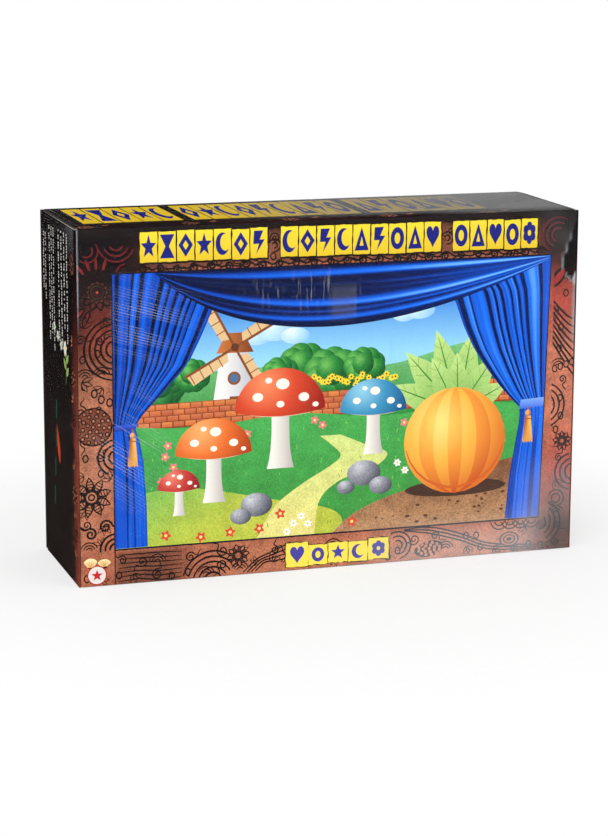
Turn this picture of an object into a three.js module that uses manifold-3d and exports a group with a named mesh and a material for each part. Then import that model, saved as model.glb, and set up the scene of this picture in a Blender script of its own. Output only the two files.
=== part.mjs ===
// A retail carton of a glove-puppet theatre set, standing on its long bottom face.
// Millimetres, +Z up, +X along the length, the printed front faces -Y, left is -X.
import * as THREE from 'three';
import * as BufferGeometryUtils from 'three/addons/utils/BufferGeometryUtils.js';
import Module from 'manifold-3d';

const wasm = await Module();
wasm.setup();

// Outside of the closed carton.
const CARTON_LENGTH = 380;
const CARTON_DEPTH = 114;
const CARTON_HEIGHT = 258;

// Folded board and its clearances.
const BOARD = 1.5;
const REST_GAP = 0.3;
const MITRE_GAP = 0.2;
const CREASE_GAP = 0.35;

// End closures.
const TUCK_DEPTH = 16;
const TUCK_CLEARANCE = 1.8;
const TUCK_TAPER = 6;
const TUCK_CORNER = 9;
const END_EDGE_GAP = 0.5;
const DUST_DEPTH = 46;
const DUST_SIDE_GAP = 2.5;
const DUST_HINGE_TAPER = 23;
const DUST_FREE_TAPER = 4;
const DUST_CORNER = 6;

// Glued seam inside the back panel.
const GLUE_WIDTH = 25;
const GLUE_END_GAP = 22;
const GLUE_TAPER = 5;

// Folded stage screen.
const SCREEN_BOARD = 2;
const SCREEN_END_GAP = 8;
const SCREEN_TOP_GAP = 12.2;
const WINDOW_SIDE = 64;
const WINDOW_SILL = 78;
const WINDOW_HEAD = 34;
const WINDOW_ARCH = 26;
const TAPE_THICKNESS = 0.5;

// Slotted insert of corrugated board.
const INSERT_BOARD = 3;
const SLOT_PLAY = 0.3;
const DIVIDER_TOP_GAP = 3;

// Play of the glove puppets and the booklet in their cells.
const PUPPET_SIDE_GAP = 6;
const PUPPET_TOP_GAP = 12;
const BOOKLET_SIDE_GAP = 3;
const BOOKLET_TOP_GAP = 7;
const BOOKLET_THICKNESS = 3;

// Shares of half a cell's free width, and of its height.
const HEM_SHARE = 0.85;
const WAIST_SHARE = 0.46;
const COLLAR_SHARE = 0.28;
const ARM_RADIUS_SHARE = 0.18;
const ARM_LENGTH_SHARE = 0.43;
const NECK_SHARE = 0.24;
const BULB_SHARE = 0.92;
const LEAF_WIDTH_SHARE = 0.5;
const LEAF_THICKNESS_SHARE = 0.18;
const GARMENT_SHARE = 0.48;
const ARM_RISE_SHARE = 0.72;
const NECK_RISE_SHARE = 0.04;
const BULB_RISE_SHARE = 0.53;
const LEAF_RISE_SHARE = 0.34;

// Shares of a head's radius.
const NOSE_SHARE = 0.16;
const EAR_SHARE = 0.32;
const EAR_THICKNESS_SHARE = 0.1;

// Shape tables and counts.
const GARMENT_RADIUS_SHARES = [1, 0.97, 0.88, 0.74, 0.6];
const GARMENT_HEIGHT_SHARES = [0, 0.1, 0.28, 0.5, 0.72];
const BULB_RADIUS_SHARES = [0.1, 0.22, 0.55, 0.86, 1, 0.96, 0.76, 0.4];
const BULB_HEIGHT_SHARES = [0, 0.1, 0.2, 0.36, 0.56, 0.76, 0.92, 0.99];
const GARMENT_DEPTH_SHARE = 0.8;
const GARMENT_FOLD_SHARE = 0.07;
const SPINE_SHARE = 0.49;
const FOLDS = 9;
const AROUND = 27;
const ARM_DROP = THREE.MathUtils.degToRad(28);
const EAR_LEANS = [48, 34, 60].map(THREE.MathUtils.degToRad);
const LEAF_LEAN = THREE.MathUtils.degToRad(34);
const COLUMNS = 4;

const halfLength = CARTON_LENGTH / 2;
const halfDepth = CARTON_DEPTH / 2;
const halfBoard = BOARD / 2;
const creaseReach = halfBoard + CREASE_GAP;

const X = new THREE.Vector3(1, 0, 0);
const Y = new THREE.Vector3(0, 1, 0);
const Z = new THREE.Vector3(0, 0, 1);

// Position-only mesh without zero-area faces, turned so that it encloses a positive volume.
function cleaned(geometry) {
  const bare = new THREE.BufferGeometry();
  bare.setAttribute('position', geometry.getAttribute('position').clone());
  if (geometry.index) bare.setIndex(geometry.index.clone());
  const merged = BufferGeometryUtils.mergeVertices(bare, 1e-5);
  const old = merged.index.array;
  const p = merged.getAttribute('position');
  const kept = [];
  const [a, b, c] = [new THREE.Vector3(), new THREE.Vector3(), new THREE.Vector3()];
  let volume = 0;
  for (let i = 0; i < old.length; i += 3) {
    const [i0, i1, i2] = [old[i], old[i + 1], old[i + 2]];
    if (i0 === i1 || i1 === i2 || i2 === i0) continue;
    a.fromBufferAttribute(p, i0);
    b.fromBufferAttribute(p, i1);
    c.fromBufferAttribute(p, i2);
    volume += a.dot(b.clone().cross(c));
    kept.push(i0, i1, i2);
  }
  if (volume < 0) {
    for (let i = 0; i < kept.length; i += 3) {
      [kept[i + 1], kept[i + 2]] = [kept[i + 2], kept[i + 1]];
    }
  }
  merged.setIndex(kept);
  return merged;
}

function solid(geometry) {
  const clean = cleaned(geometry);
  return new wasm.Manifold(new wasm.Mesh({
    numProp: 3,
    vertProperties: new Float32Array(clean.getAttribute('position').array),
    triVerts: new Uint32Array(clean.index.array),
  }));
}

function fromSolid(body) {
  const mesh = body.getMesh();
  const geometry = new THREE.BufferGeometry();
  geometry.setAttribute('position', new THREE.BufferAttribute(new Float32Array(mesh.vertProperties), 3));
  geometry.setIndex(new THREE.BufferAttribute(new Uint32Array(mesh.triVerts), 1));
  return geometry;
}

// A shape drawn in the plane of two axes and carried along their cross product.
function prism(shape, from, to, u, v) {
  const geometry = new THREE.ExtrudeGeometry(shape, {
    depth: to - from,
    bevelEnabled: false,
    curveSegments: 6,
  });
  const w = u.clone().cross(v);
  const frame = new THREE.Matrix4().makeBasis(u, v, w);
  frame.setPosition(w.clone().multiplyScalar(from));
  return geometry.applyMatrix4(frame);
}

function polygon(points) {
  return new THREE.Shape(points.map(([u, v]) => new THREE.Vector2(u, v)));
}

function rectangle(u0, v0, u1, v1) {
  return polygon([[u0, v0], [u1, v0], [u1, v1], [u0, v1]]);
}

function box(x0, y0, z0, x1, y1, z1) {
  return prism(rectangle(x0, y0, x1, y1), z0, z1, X, Y);
}

// A rounded-corner outline: each corner carries its own radius.
function rounded(corners) {
  const shape = new THREE.Shape();
  corners.forEach(([u, v, r], i) => {
    const before = corners[(i + corners.length - 1) % corners.length];
    const after = corners[(i + 1) % corners.length];
    const at = new THREE.Vector2(u, v);
    const back = new THREE.Vector2(before[0], before[1]).sub(at).normalize();
    const on = new THREE.Vector2(after[0], after[1]).sub(at).normalize();
    const start = at.clone().addScaledVector(back, r);
    const end = at.clone().addScaledVector(on, r);
    if (i === 0) shape.moveTo(start.x, start.y);
    else shape.lineTo(start.x, start.y);
    if (r > 0) shape.quadraticCurveTo(at.x, at.y, end.x, end.y);
  });
  shape.closePath();
  return shape;
}

// A strip of board whose crease end is a half round about the crease line.
function creasedStrip(axisU, axisV, turn, length, across) {
  const points = [];
  const steps = 8;
  for (let i = 0; i <= steps; i++) {
    const angle = turn + Math.PI / 2 + (Math.PI * i) / steps;
    points.push([axisU + halfBoard * Math.cos(angle), axisV + halfBoard * Math.sin(angle)]);
  }
  const [cu, cv] = [Math.cos(turn), Math.sin(turn)];
  points.push([axisU + length * cu + halfBoard * cv, axisV + length * cv - halfBoard * cu]);
  points.push([axisU + length * cu - halfBoard * cv, axisV + length * cv + halfBoard * cu]);
  return prism(polygon(points), across[0], across[1], across[2], across[3]);
}

function crossed(a, b) {
  return fromSolid(solid(a).intersect(solid(b)));
}

// Carton sleeve.

// Cross-section of one long panel, mitred at its folds, drawn with the outside at v = 0.
function panelProfile(width) {
  const points = [];
  const steps = 4;
  const kerf = MITRE_GAP / 2;
  const eighth = Math.PI / 4;
  const spread = eighth - Math.asin(kerf / BOARD) / 2;
  for (let i = 0; i <= steps; i++) {
    const angle = spread * (1 - i / steps);
    points.push([BOARD - BOARD * Math.sin(angle), BOARD - BOARD * Math.cos(angle)]);
  }
  for (let i = 0; i <= steps; i++) {
    const angle = spread * (i / steps);
    points.push([width - BOARD + BOARD * Math.sin(angle), BOARD - BOARD * Math.cos(angle)]);
  }
  points.push([width - BOARD - kerf, BOARD]);
  points.push([BOARD + kerf, BOARD]);
  return points;
}

function longPanel(width, x0, x1, place) {
  return prism(polygon(panelProfile(width).map(place)), x0, x1, Y, Z);
}

const topEnd = halfLength - BOARD - REST_GAP - halfBoard - creaseReach;
const frontEnd = halfLength - halfBoard - creaseReach;

const frontPanel = longPanel(CARTON_HEIGHT, -frontEnd, frontEnd, ([s, v]) => [v - halfDepth, s]);
const backPanel = longPanel(CARTON_HEIGHT, -halfLength, halfLength, ([s, v]) => [halfDepth - v, s]);
const topPanel = longPanel(CARTON_DEPTH, -topEnd, topEnd, ([s, v]) => [s - halfDepth, CARTON_HEIGHT - v]);
const bottomPanel = longPanel(CARTON_DEPTH, -topEnd, topEnd, ([s, v]) => [s - halfDepth, v]);

const glueInner = halfDepth - BOARD - REST_GAP - BOARD;
const glueFlap = prism(
  polygon([
    [GLUE_END_GAP - halfLength, BOARD + REST_GAP],
    [halfLength - GLUE_END_GAP, BOARD + REST_GAP],
    [halfLength - GLUE_END_GAP - GLUE_TAPER, GLUE_WIDTH],
    [GLUE_END_GAP - halfLength + GLUE_TAPER, GLUE_WIDTH],
  ]),
  -glueInner - BOARD,
  -glueInner,
  X,
  Z,
);

// End closures, drawn for the left end and mirrored for the right. They hinge at the front edge.
const flapAxisX = halfBoard - halfLength;
const flapAxisY = halfBoard - halfDepth;
const tuckAxisY = halfDepth - BOARD - TUCK_CLEARANCE - halfBoard;
const dustAxisX = BOARD + REST_GAP + halfBoard - halfLength;
const dustAxisZ = CARTON_HEIGHT - halfBoard;

function endFlap() {
  const reach = tuckAxisY - flapAxisY - creaseReach;
  const across = [END_EDGE_GAP, CARTON_HEIGHT - END_EDGE_GAP, X, Y];
  return creasedStrip(flapAxisX, flapAxisY, Math.PI / 2, reach, across);
}

function tuckTongue() {
  const tip = flapAxisX + TUCK_DEPTH;
  const low = BOARD + REST_GAP + END_EDGE_GAP;
  const high = CARTON_HEIGHT - low;
  const strip = creasedStrip(flapAxisX, tuckAxisY, 0, TUCK_DEPTH, [low, high, X, Y]);
  const outline = rounded([
    [-halfLength, low, 0],
    [flapAxisX + creaseReach, low, 0],
    [tip, low + TUCK_TAPER, TUCK_CORNER],
    [tip, high - TUCK_TAPER, TUCK_CORNER],
    [flapAxisX + creaseReach, high, 0],
    [-halfLength, high, 0],
  ]);
  return crossed(strip, prism(outline, -tuckAxisY - BOARD, -tuckAxisY + BOARD, X, Z));
}

function topDustFlap() {
  const back = tuckAxisY - halfBoard - DUST_SIDE_GAP;
  const front = BOARD + DUST_SIDE_GAP - halfDepth;
  const tip = dustAxisZ - DUST_DEPTH;
  const strip = creasedStrip(dustAxisX, dustAxisZ, -Math.PI / 2, DUST_DEPTH, [-back, -front, X, Z]);
  const outline = rounded([
    [front, CARTON_HEIGHT, 0],
    [front + DUST_HINGE_TAPER, tip, DUST_CORNER],
    [back - DUST_FREE_TAPER, tip, DUST_CORNER],
    [back, CARTON_HEIGHT, 0],
  ]);
  return crossed(strip, prism(outline, dustAxisX - BOARD, dustAxisX + BOARD, Y, Z));
}

function upsideDown(geometry) {
  return geometry.clone().scale(1, 1, -1).translate(0, 0, CARTON_HEIGHT);
}

// Folded stage screen behind the front panel: the centre with its window, then both wings.
const screenFront = BOARD + REST_GAP - halfDepth;
const wingFront = screenFront + SCREEN_BOARD + REST_GAP;
const wingBack = wingFront + SCREEN_BOARD;
const screenLow = BOARD + REST_GAP;
const screenHigh = CARTON_HEIGHT - SCREEN_TOP_GAP;
const halfScreen = halfLength - SCREEN_END_GAP;

function screenCentre() {
  const outline = rectangle(-halfScreen, screenLow, halfScreen, screenHigh);
  const low = screenLow + WINDOW_SILL;
  const high = screenHigh - WINDOW_HEAD;
  const half = halfScreen - WINDOW_SIDE;
  const window = new THREE.Path();
  window.moveTo(-half, low);
  window.lineTo(half, low);
  window.lineTo(half, high - WINDOW_ARCH);
  window.quadraticCurveTo(0, high + WINDOW_ARCH, -half, high - WINDOW_ARCH);
  window.closePath();
  outline.holes.push(window);
  return prism(outline, -screenFront - SCREEN_BOARD, -screenFront, X, Z);
}

function screenWing(side) {
  const inner = side * (REST_GAP / 2);
  const outer = side * halfScreen;
  const [x0, x1] = side < 0 ? [outer, inner] : [inner, outer];
  return box(x0, wingFront, screenLow, x1, wingBack, screenHigh);
}

function screenTape(side) {
  const near = halfScreen + REST_GAP;
  const far = near + TAPE_THICKNESS;
  const [x0, x1] = side < 0 ? [-far, -near] : [near, far];
  return box(x0, screenFront, screenLow, x1, wingBack, screenHigh);
}

// Slotted insert: one shelf and upright dividers that lock into it at half depth.
const insertBack = tuckAxisY - halfBoard - REST_GAP;
const insertFront = wingBack + REST_GAP;
const insertMiddle = (insertBack + insertFront) / 2;
const shelfReach = halfLength - BOARD - REST_GAP - BOARD - REST_GAP;
const shelfLow = (CARTON_HEIGHT - INSERT_BOARD) / 2;
const shelfHigh = shelfLow + INSERT_BOARD;
const columnPitch = (2 * shelfReach) / COLUMNS;
const slotHalf = INSERT_BOARD / 2 + SLOT_PLAY;

function columnMiddle(column) {
  return -shelfReach + columnPitch * (column + 0.5);
}

function insertShelf() {
  const points = [[-shelfReach, insertFront]];
  for (let i = 1; i < COLUMNS; i++) {
    const at = -shelfReach + columnPitch * i;
    points.push([at - slotHalf, insertFront], [at - slotHalf, insertMiddle]);
    points.push([at + slotHalf, insertMiddle], [at + slotHalf, insertFront]);
  }
  points.push([shelfReach, insertFront], [shelfReach, insertBack], [-shelfReach, insertBack]);
  return prism(polygon(points), shelfLow, shelfHigh, X, Y);
}

function insertDivider(number) {
  const at = -shelfReach + columnPitch * number;
  const low = BOARD + REST_GAP;
  const high = CARTON_HEIGHT - BOARD - DIVIDER_TOP_GAP;
  const outline = polygon([
    [insertFront, low],
    [insertBack, low],
    [insertBack, shelfLow - SLOT_PLAY],
    [insertMiddle - SLOT_PLAY, shelfLow - SLOT_PLAY],
    [insertMiddle - SLOT_PLAY, shelfHigh + SLOT_PLAY],
    [insertBack, shelfHigh + SLOT_PLAY],
    [insertBack, high],
    [insertFront, high],
  ]);
  return prism(outline, at - INSERT_BOARD / 2, at + INSERT_BOARD / 2, Y, Z);
}

// Glove puppets, each drawn about its own foot point.
const floors = [BOARD + REST_GAP, shelfHigh + REST_GAP];
const cellHeight = shelfLow - floors[0];
const cellHalf = (columnPitch - INSERT_BOARD) / 2;
const puppetHalf = cellHalf - PUPPET_SIDE_GAP;
const hemRadius = puppetHalf * HEM_SHARE;
const collarRadius = puppetHalf * COLLAR_SHARE;
const neckRadius = puppetHalf * NECK_SHARE;
const garmentHeight = cellHeight * GARMENT_SHARE;
const neckHeight = cellHeight * NECK_RISE_SHARE;
const headRadius = (cellHeight - PUPPET_TOP_GAP - garmentHeight - neckHeight) / 2;
const bulbHeight = cellHeight * BULB_RISE_SHARE;

function turned(profile, segments) {
  const points = profile.map(([r, z]) => new THREE.Vector2(r, z));
  return new THREE.LatheGeometry(points, segments).rotateX(Math.PI / 2);
}

function garment() {
  const profile = [[0, 0]];
  GARMENT_RADIUS_SHARES.forEach((share, i) => {
    profile.push([hemRadius * share, garmentHeight * GARMENT_HEIGHT_SHARES[i]]);
  });
  profile.push([puppetHalf * WAIST_SHARE, garmentHeight - collarRadius / 2]);
  profile.push([collarRadius, garmentHeight]);
  profile.push([0, garmentHeight]);
  const skirt = turned(profile, AROUND);
  const p = skirt.getAttribute('position');
  for (let i = 0; i < p.count; i++) {
    const angle = Math.atan2(p.getY(i), p.getX(i));
    const fade = 1 - p.getZ(i) / garmentHeight;
    const grow = 1 + GARMENT_FOLD_SHARE * fade * Math.cos(FOLDS * angle);
    p.setXY(i, p.getX(i) * grow, p.getY(i) * grow * GARMENT_DEPTH_SHARE);
  }
  const armRadius = puppetHalf * ARM_RADIUS_SHARE;
  const armLength = puppetHalf * ARM_LENGTH_SHARE;
  let body = solid(skirt);
  for (const side of [-1, 1]) {
    const arm = new THREE.CapsuleGeometry(armRadius, armLength, 2, 10);
    arm.translate(0, armLength / 2 + armRadius, 0).rotateZ(side * (Math.PI / 2 + ARM_DROP));
    arm.rotateX(Math.PI / 2).translate(-side * collarRadius, 0, garmentHeight * ARM_RISE_SHARE);
    body = body.add(solid(arm));
  }
  return fromSolid(body);
}

function headBall() {
  const centre = neckHeight + Math.sqrt(headRadius ** 2 - neckRadius ** 2);
  const steps = 10;
  const start = Math.asin(neckRadius / headRadius);
  const profile = [[0, 0], [neckRadius, 0]];
  for (let i = 0; i <= steps; i++) {
    const angle = start + ((Math.PI - start) * i) / steps;
    profile.push([i === steps ? 0 : headRadius * Math.sin(angle), centre - headRadius * Math.cos(angle)]);
  }
  return { ball: turned(profile, 18), centre };
}

function personHead() {
  const { ball, centre } = headBall();
  const nose = new THREE.SphereGeometry(headRadius * NOSE_SHARE, 8, 6).translate(0, -headRadius, centre);
  return fromSolid(solid(ball).add(solid(nose)));
}

function animalHead(lean) {
  const { ball, centre } = headBall();
  const nose = headRadius * NOSE_SHARE;
  const earRadius = headRadius * EAR_SHARE;
  let body = solid(ball);
  const muzzle = new THREE.SphereGeometry(nose * 2, 12, 8);
  muzzle.translate(0, nose - headRadius, centre - nose);
  body = body.add(solid(muzzle));
  for (const side of [-1, 1]) {
    const ear = new THREE.SphereGeometry(earRadius, 12, 8);
    ear.scale(1, EAR_THICKNESS_SHARE / EAR_SHARE, 1);
    const out = headRadius + earRadius / 4;
    ear.translate(side * out * Math.sin(lean), 0, centre + out * Math.cos(lean));
    body = body.add(solid(ear));
  }
  return fromSolid(body);
}

function rootBulb() {
  const bulbRadius = puppetHalf * BULB_SHARE;
  const profile = [[0, 0]];
  BULB_RADIUS_SHARES.forEach((share, i) => {
    profile.push([bulbRadius * share, bulbHeight * BULB_HEIGHT_SHARES[i]]);
  });
  profile.push([0, bulbHeight]);
  return turned(profile, AROUND);
}

function leafTuft() {
  const long = cellHeight * LEAF_RISE_SHARE;
  const thick = puppetHalf * LEAF_THICKNESS_SHARE;
  let body = null;
  for (const side of [-1, 0, 1]) {
    const leaf = new THREE.SphereGeometry(long / 2, 12, 8);
    leaf.scale((puppetHalf * LEAF_WIDTH_SHARE) / long, thick / long, 1);
    leaf.translate(0, 0, long / 2).rotateY(side * LEAF_LEAN);
    body = body ? body.add(solid(leaf)) : solid(leaf);
  }
  const below = box(-long, -long, -long, long, long, thick / 2);
  return fromSolid(body.subtract(solid(below)).translate([0, 0, -thick / 2]));
}

function booklet() {
  const half = cellHalf - BOOKLET_SIDE_GAP;
  const sheet = BOOKLET_THICKNESS;
  const outline = rounded([
    [-half, 0, sheet * SPINE_SHARE],
    [half, 0, 0],
    [half, sheet, 0],
    [-half, sheet, sheet * SPINE_SHARE],
  ]);
  return prism(outline, 0, cellHeight - BOOKLET_TOP_GAP, X, Y);
}

// Assembly.
const group = new THREE.Group();
group.name = 'puppet_theatre_set_carton';

function place(name, geometry, colour, roughness = 0.6) {
  const clean = cleaned(geometry);
  clean.computeVertexNormals();
  const material = new THREE.MeshStandardMaterial({ color: colour, roughness });
  const mesh = new THREE.Mesh(clean, material);
  mesh.name = name;
  group.add(mesh);
}

place('front_panel', frontPanel, 0x8f4a30, 0.35);
place('back_panel', backPanel, 0x4a2a22, 0.35);
place('top_panel', topPanel, 0x2c2826, 0.35);
place('bottom_panel', bottomPanel, 0x2c2826, 0.35);
place('glue_flap', glueFlap, 0xb9b2a4, 0.8);

for (const [end, flip] of [['left', 1], ['right', -1]]) {
  const facing = (geometry) => geometry.clone().scale(flip, 1, 1);
  place(`${end}_end_flap`, facing(endFlap()), 0x241f1c, 0.35);
  place(`${end}_tuck_tongue`, facing(tuckTongue()), 0x2b2522, 0.4);
  place(`${end}_top_dust_flap`, facing(topDustFlap()), 0x8a4630, 0.4);
  place(`${end}_bottom_dust_flap`, facing(upsideDown(topDustFlap())), 0x8a4630, 0.4);
}

place('stage_screen_centre', screenCentre(), 0x2f5cc4, 0.5);
for (const [end, side] of [['left', -1], ['right', 1]]) {
  place(`stage_screen_${end}_wing`, screenWing(side), 0xb4552e, 0.5);
  place(`stage_screen_${end}_tape`, screenTape(side), 0x1f2a55, 0.9);
}

place('insert_shelf', insertShelf(), 0xb88f5f, 0.85);
['left', 'middle', 'right'].forEach((name, i) => {
  place(`insert_divider_${name}`, insertDivider(i + 1), 0xb88f5f, 0.85);
});

const puppets = [
  ['first_person', 0, 0, 0xc8452f, 0xe8b98f, () => personHead()],
  ['second_person', 1, 0, 0x3e8fc0, 0xe8b98f, () => personHead()],
  ['third_person', 2, 0, 0xd98b2b, 0xe8b98f, () => personHead()],
  ['first_animal', 0, 1, 0xc99a63, 0xd9ab74, () => animalHead(EAR_LEANS[0])],
  ['second_animal', 1, 1, 0x8a8a92, 0x9a9aa2, () => animalHead(EAR_LEANS[1])],
  ['third_animal', 2, 1, 0x6f7480, 0x7c818c, () => animalHead(EAR_LEANS[2])],
];
for (const [name, column, row, cloth, skin, makeHead] of puppets) {
  const at = [columnMiddle(column), insertMiddle, floors[row]];
  place(`${name}_garment`, garment().translate(...at), cloth, 0.9);
  place(`${name}_head`, makeHead().translate(at[0], at[1], at[2] + garmentHeight + REST_GAP), skin, 0.5);
}
const lastColumn = columnMiddle(COLUMNS - 1);
place('root_vegetable_bulb', rootBulb().translate(lastColumn, insertMiddle, floors[0]), 0xe39a2c, 0.7);
place(
  'root_vegetable_leaves',
  leafTuft().translate(lastColumn, insertMiddle, floors[0] + bulbHeight + REST_GAP),
  0x6fae3e,
  0.8,
);
place(
  'script_booklet',
  booklet().translate(lastColumn, insertBack - REST_GAP - BOOKLET_THICKNESS, floors[1]),
  0xd8cba8,
  0.5,
);

export default group;
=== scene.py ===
# %% [markdown]
# The object is a closed, film-wrapped carton of a glove-puppet theatre set. It stands on its long
# bottom face. The CAD frame is loaded first; every piece made here rides on one of its bodies.
# Drawing and modelling are in millimetres, and only the finished meshes are in metres.

# %% The frame and its sizes
import random
from math import asin, cos, pi, radians, sin, tau

import bpy
import numpy as np
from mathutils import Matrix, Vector
from mathutils.geometry import delaunay_2d_cdt
from mathutils.kdtree import KDTree


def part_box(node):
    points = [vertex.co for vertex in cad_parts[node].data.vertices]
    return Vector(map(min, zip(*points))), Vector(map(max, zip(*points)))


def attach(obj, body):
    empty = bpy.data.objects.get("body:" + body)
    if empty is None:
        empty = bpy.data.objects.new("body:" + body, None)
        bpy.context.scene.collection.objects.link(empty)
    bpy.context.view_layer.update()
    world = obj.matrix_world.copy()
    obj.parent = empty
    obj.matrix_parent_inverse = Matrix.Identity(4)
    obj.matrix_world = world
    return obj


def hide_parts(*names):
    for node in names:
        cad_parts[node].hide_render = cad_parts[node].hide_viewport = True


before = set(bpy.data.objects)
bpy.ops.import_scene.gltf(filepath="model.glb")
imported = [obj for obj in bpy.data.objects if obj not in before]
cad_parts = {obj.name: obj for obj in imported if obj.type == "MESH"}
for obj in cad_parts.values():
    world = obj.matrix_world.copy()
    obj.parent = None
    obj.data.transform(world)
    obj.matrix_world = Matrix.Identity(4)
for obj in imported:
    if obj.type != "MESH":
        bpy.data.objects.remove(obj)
boxes = [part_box(name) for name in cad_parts]
CAD_BOUNDS = [[pick(b[end][i] for b in boxes) for i in range(3)] for end, pick in ((0, min), (1, max))]
MM = 0.001
LENGTH, DEPTH, HEIGHT = ((hi - lo) / MM for lo, hi in zip(*CAD_BOUNDS))
BOARD = 1.5
FILM_ROOM = 0.2  # the printed face lies this far inside the solid, so the film fits round it
FILM_THICK = 0.06
ROUND = BOARD - FILM_ROOM  # how far the print is from the middle of a fold
EIGHTH = pi / 4  # each panel's print takes an eighth of a turn, half of the fold at its edge
dice = random.Random(11)
print("carton", round(LENGTH), "x", round(DEPTH), "x", round(HEIGHT), "mm")

# %% [markdown]
# The carton is made by printing a flat sheet, so its artwork is drawn flat too, in paint order. Printed
# artwork has to be real faces here, because a face can carry its own colour and needs no picture file.
# Each shape has an ink: a function that gives a colour and an amount of grain at every point, so that a
# shape may be flat, graded or shaded like a ball.


# %% Inks
def linear(rgb):
    c = np.array(rgb, float) / 255
    return np.where(c <= 0.04045, c / 12.92, ((c + 0.055) / 1.055) ** 2.4)


def mixed(a, b, t):
    t = np.clip(t, 0, 1)[:, None]
    return a * (1 - t) + b * t


def flat(rgb, grain=0.0):
    c = np.append(linear(rgb), grain)
    return lambda p: np.tile(c, (len(p), 1))


def ramp(rgb0, rgb1, p0, p1, grain=0.0):
    c0, c1 = np.append(linear(rgb0), grain), np.append(linear(rgb1), grain)
    d = np.subtract(p1, p0)
    return lambda p: mixed(c0, c1, (p - p0) @ d / (d @ d))


def ball(light, middle, dark, centre, radius, toward=(-0.35, 0.4), grain=0.0):
    c = [np.append(linear(v), grain) for v in (light, middle, dark)]
    spot = np.add(centre, np.multiply(toward, radius))

    def ink(p):
        t = np.hypot(*(p - spot).T) / (radius * 1.35)
        return mixed(mixed(c[0], c[1], t * 2), c[2], t * 2 - 1)

    return ink


def smooth(x, lo, hi):
    t = np.clip((x - lo) / (hi - lo), 0, 1)
    return t * t * (3 - 2 * t)


def hump(x, middle, wide):
    return np.exp(-(((x - middle) / wide) ** 2))


def layered(p, base, layers, grain):
    """A ground of one colour with others laid over it, each by its own amount."""
    for rgb, amount in layers:
        base = mixed(base, linear(rgb), amount)
    return np.hstack([base, np.full((len(p), 1), grain)])


print("inks: flat, ramp, ball and layered ground")

# %% [markdown]
# A constrained Delaunay triangulation cuts all shapes of a sheet at once and says which shapes cover each
# small triangle; the last one drawn wins. That leaves one flat sheet with no stacked faces that could
# flicker. It works cell by cell, because many small cells are much quicker than one whole sheet.


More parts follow.
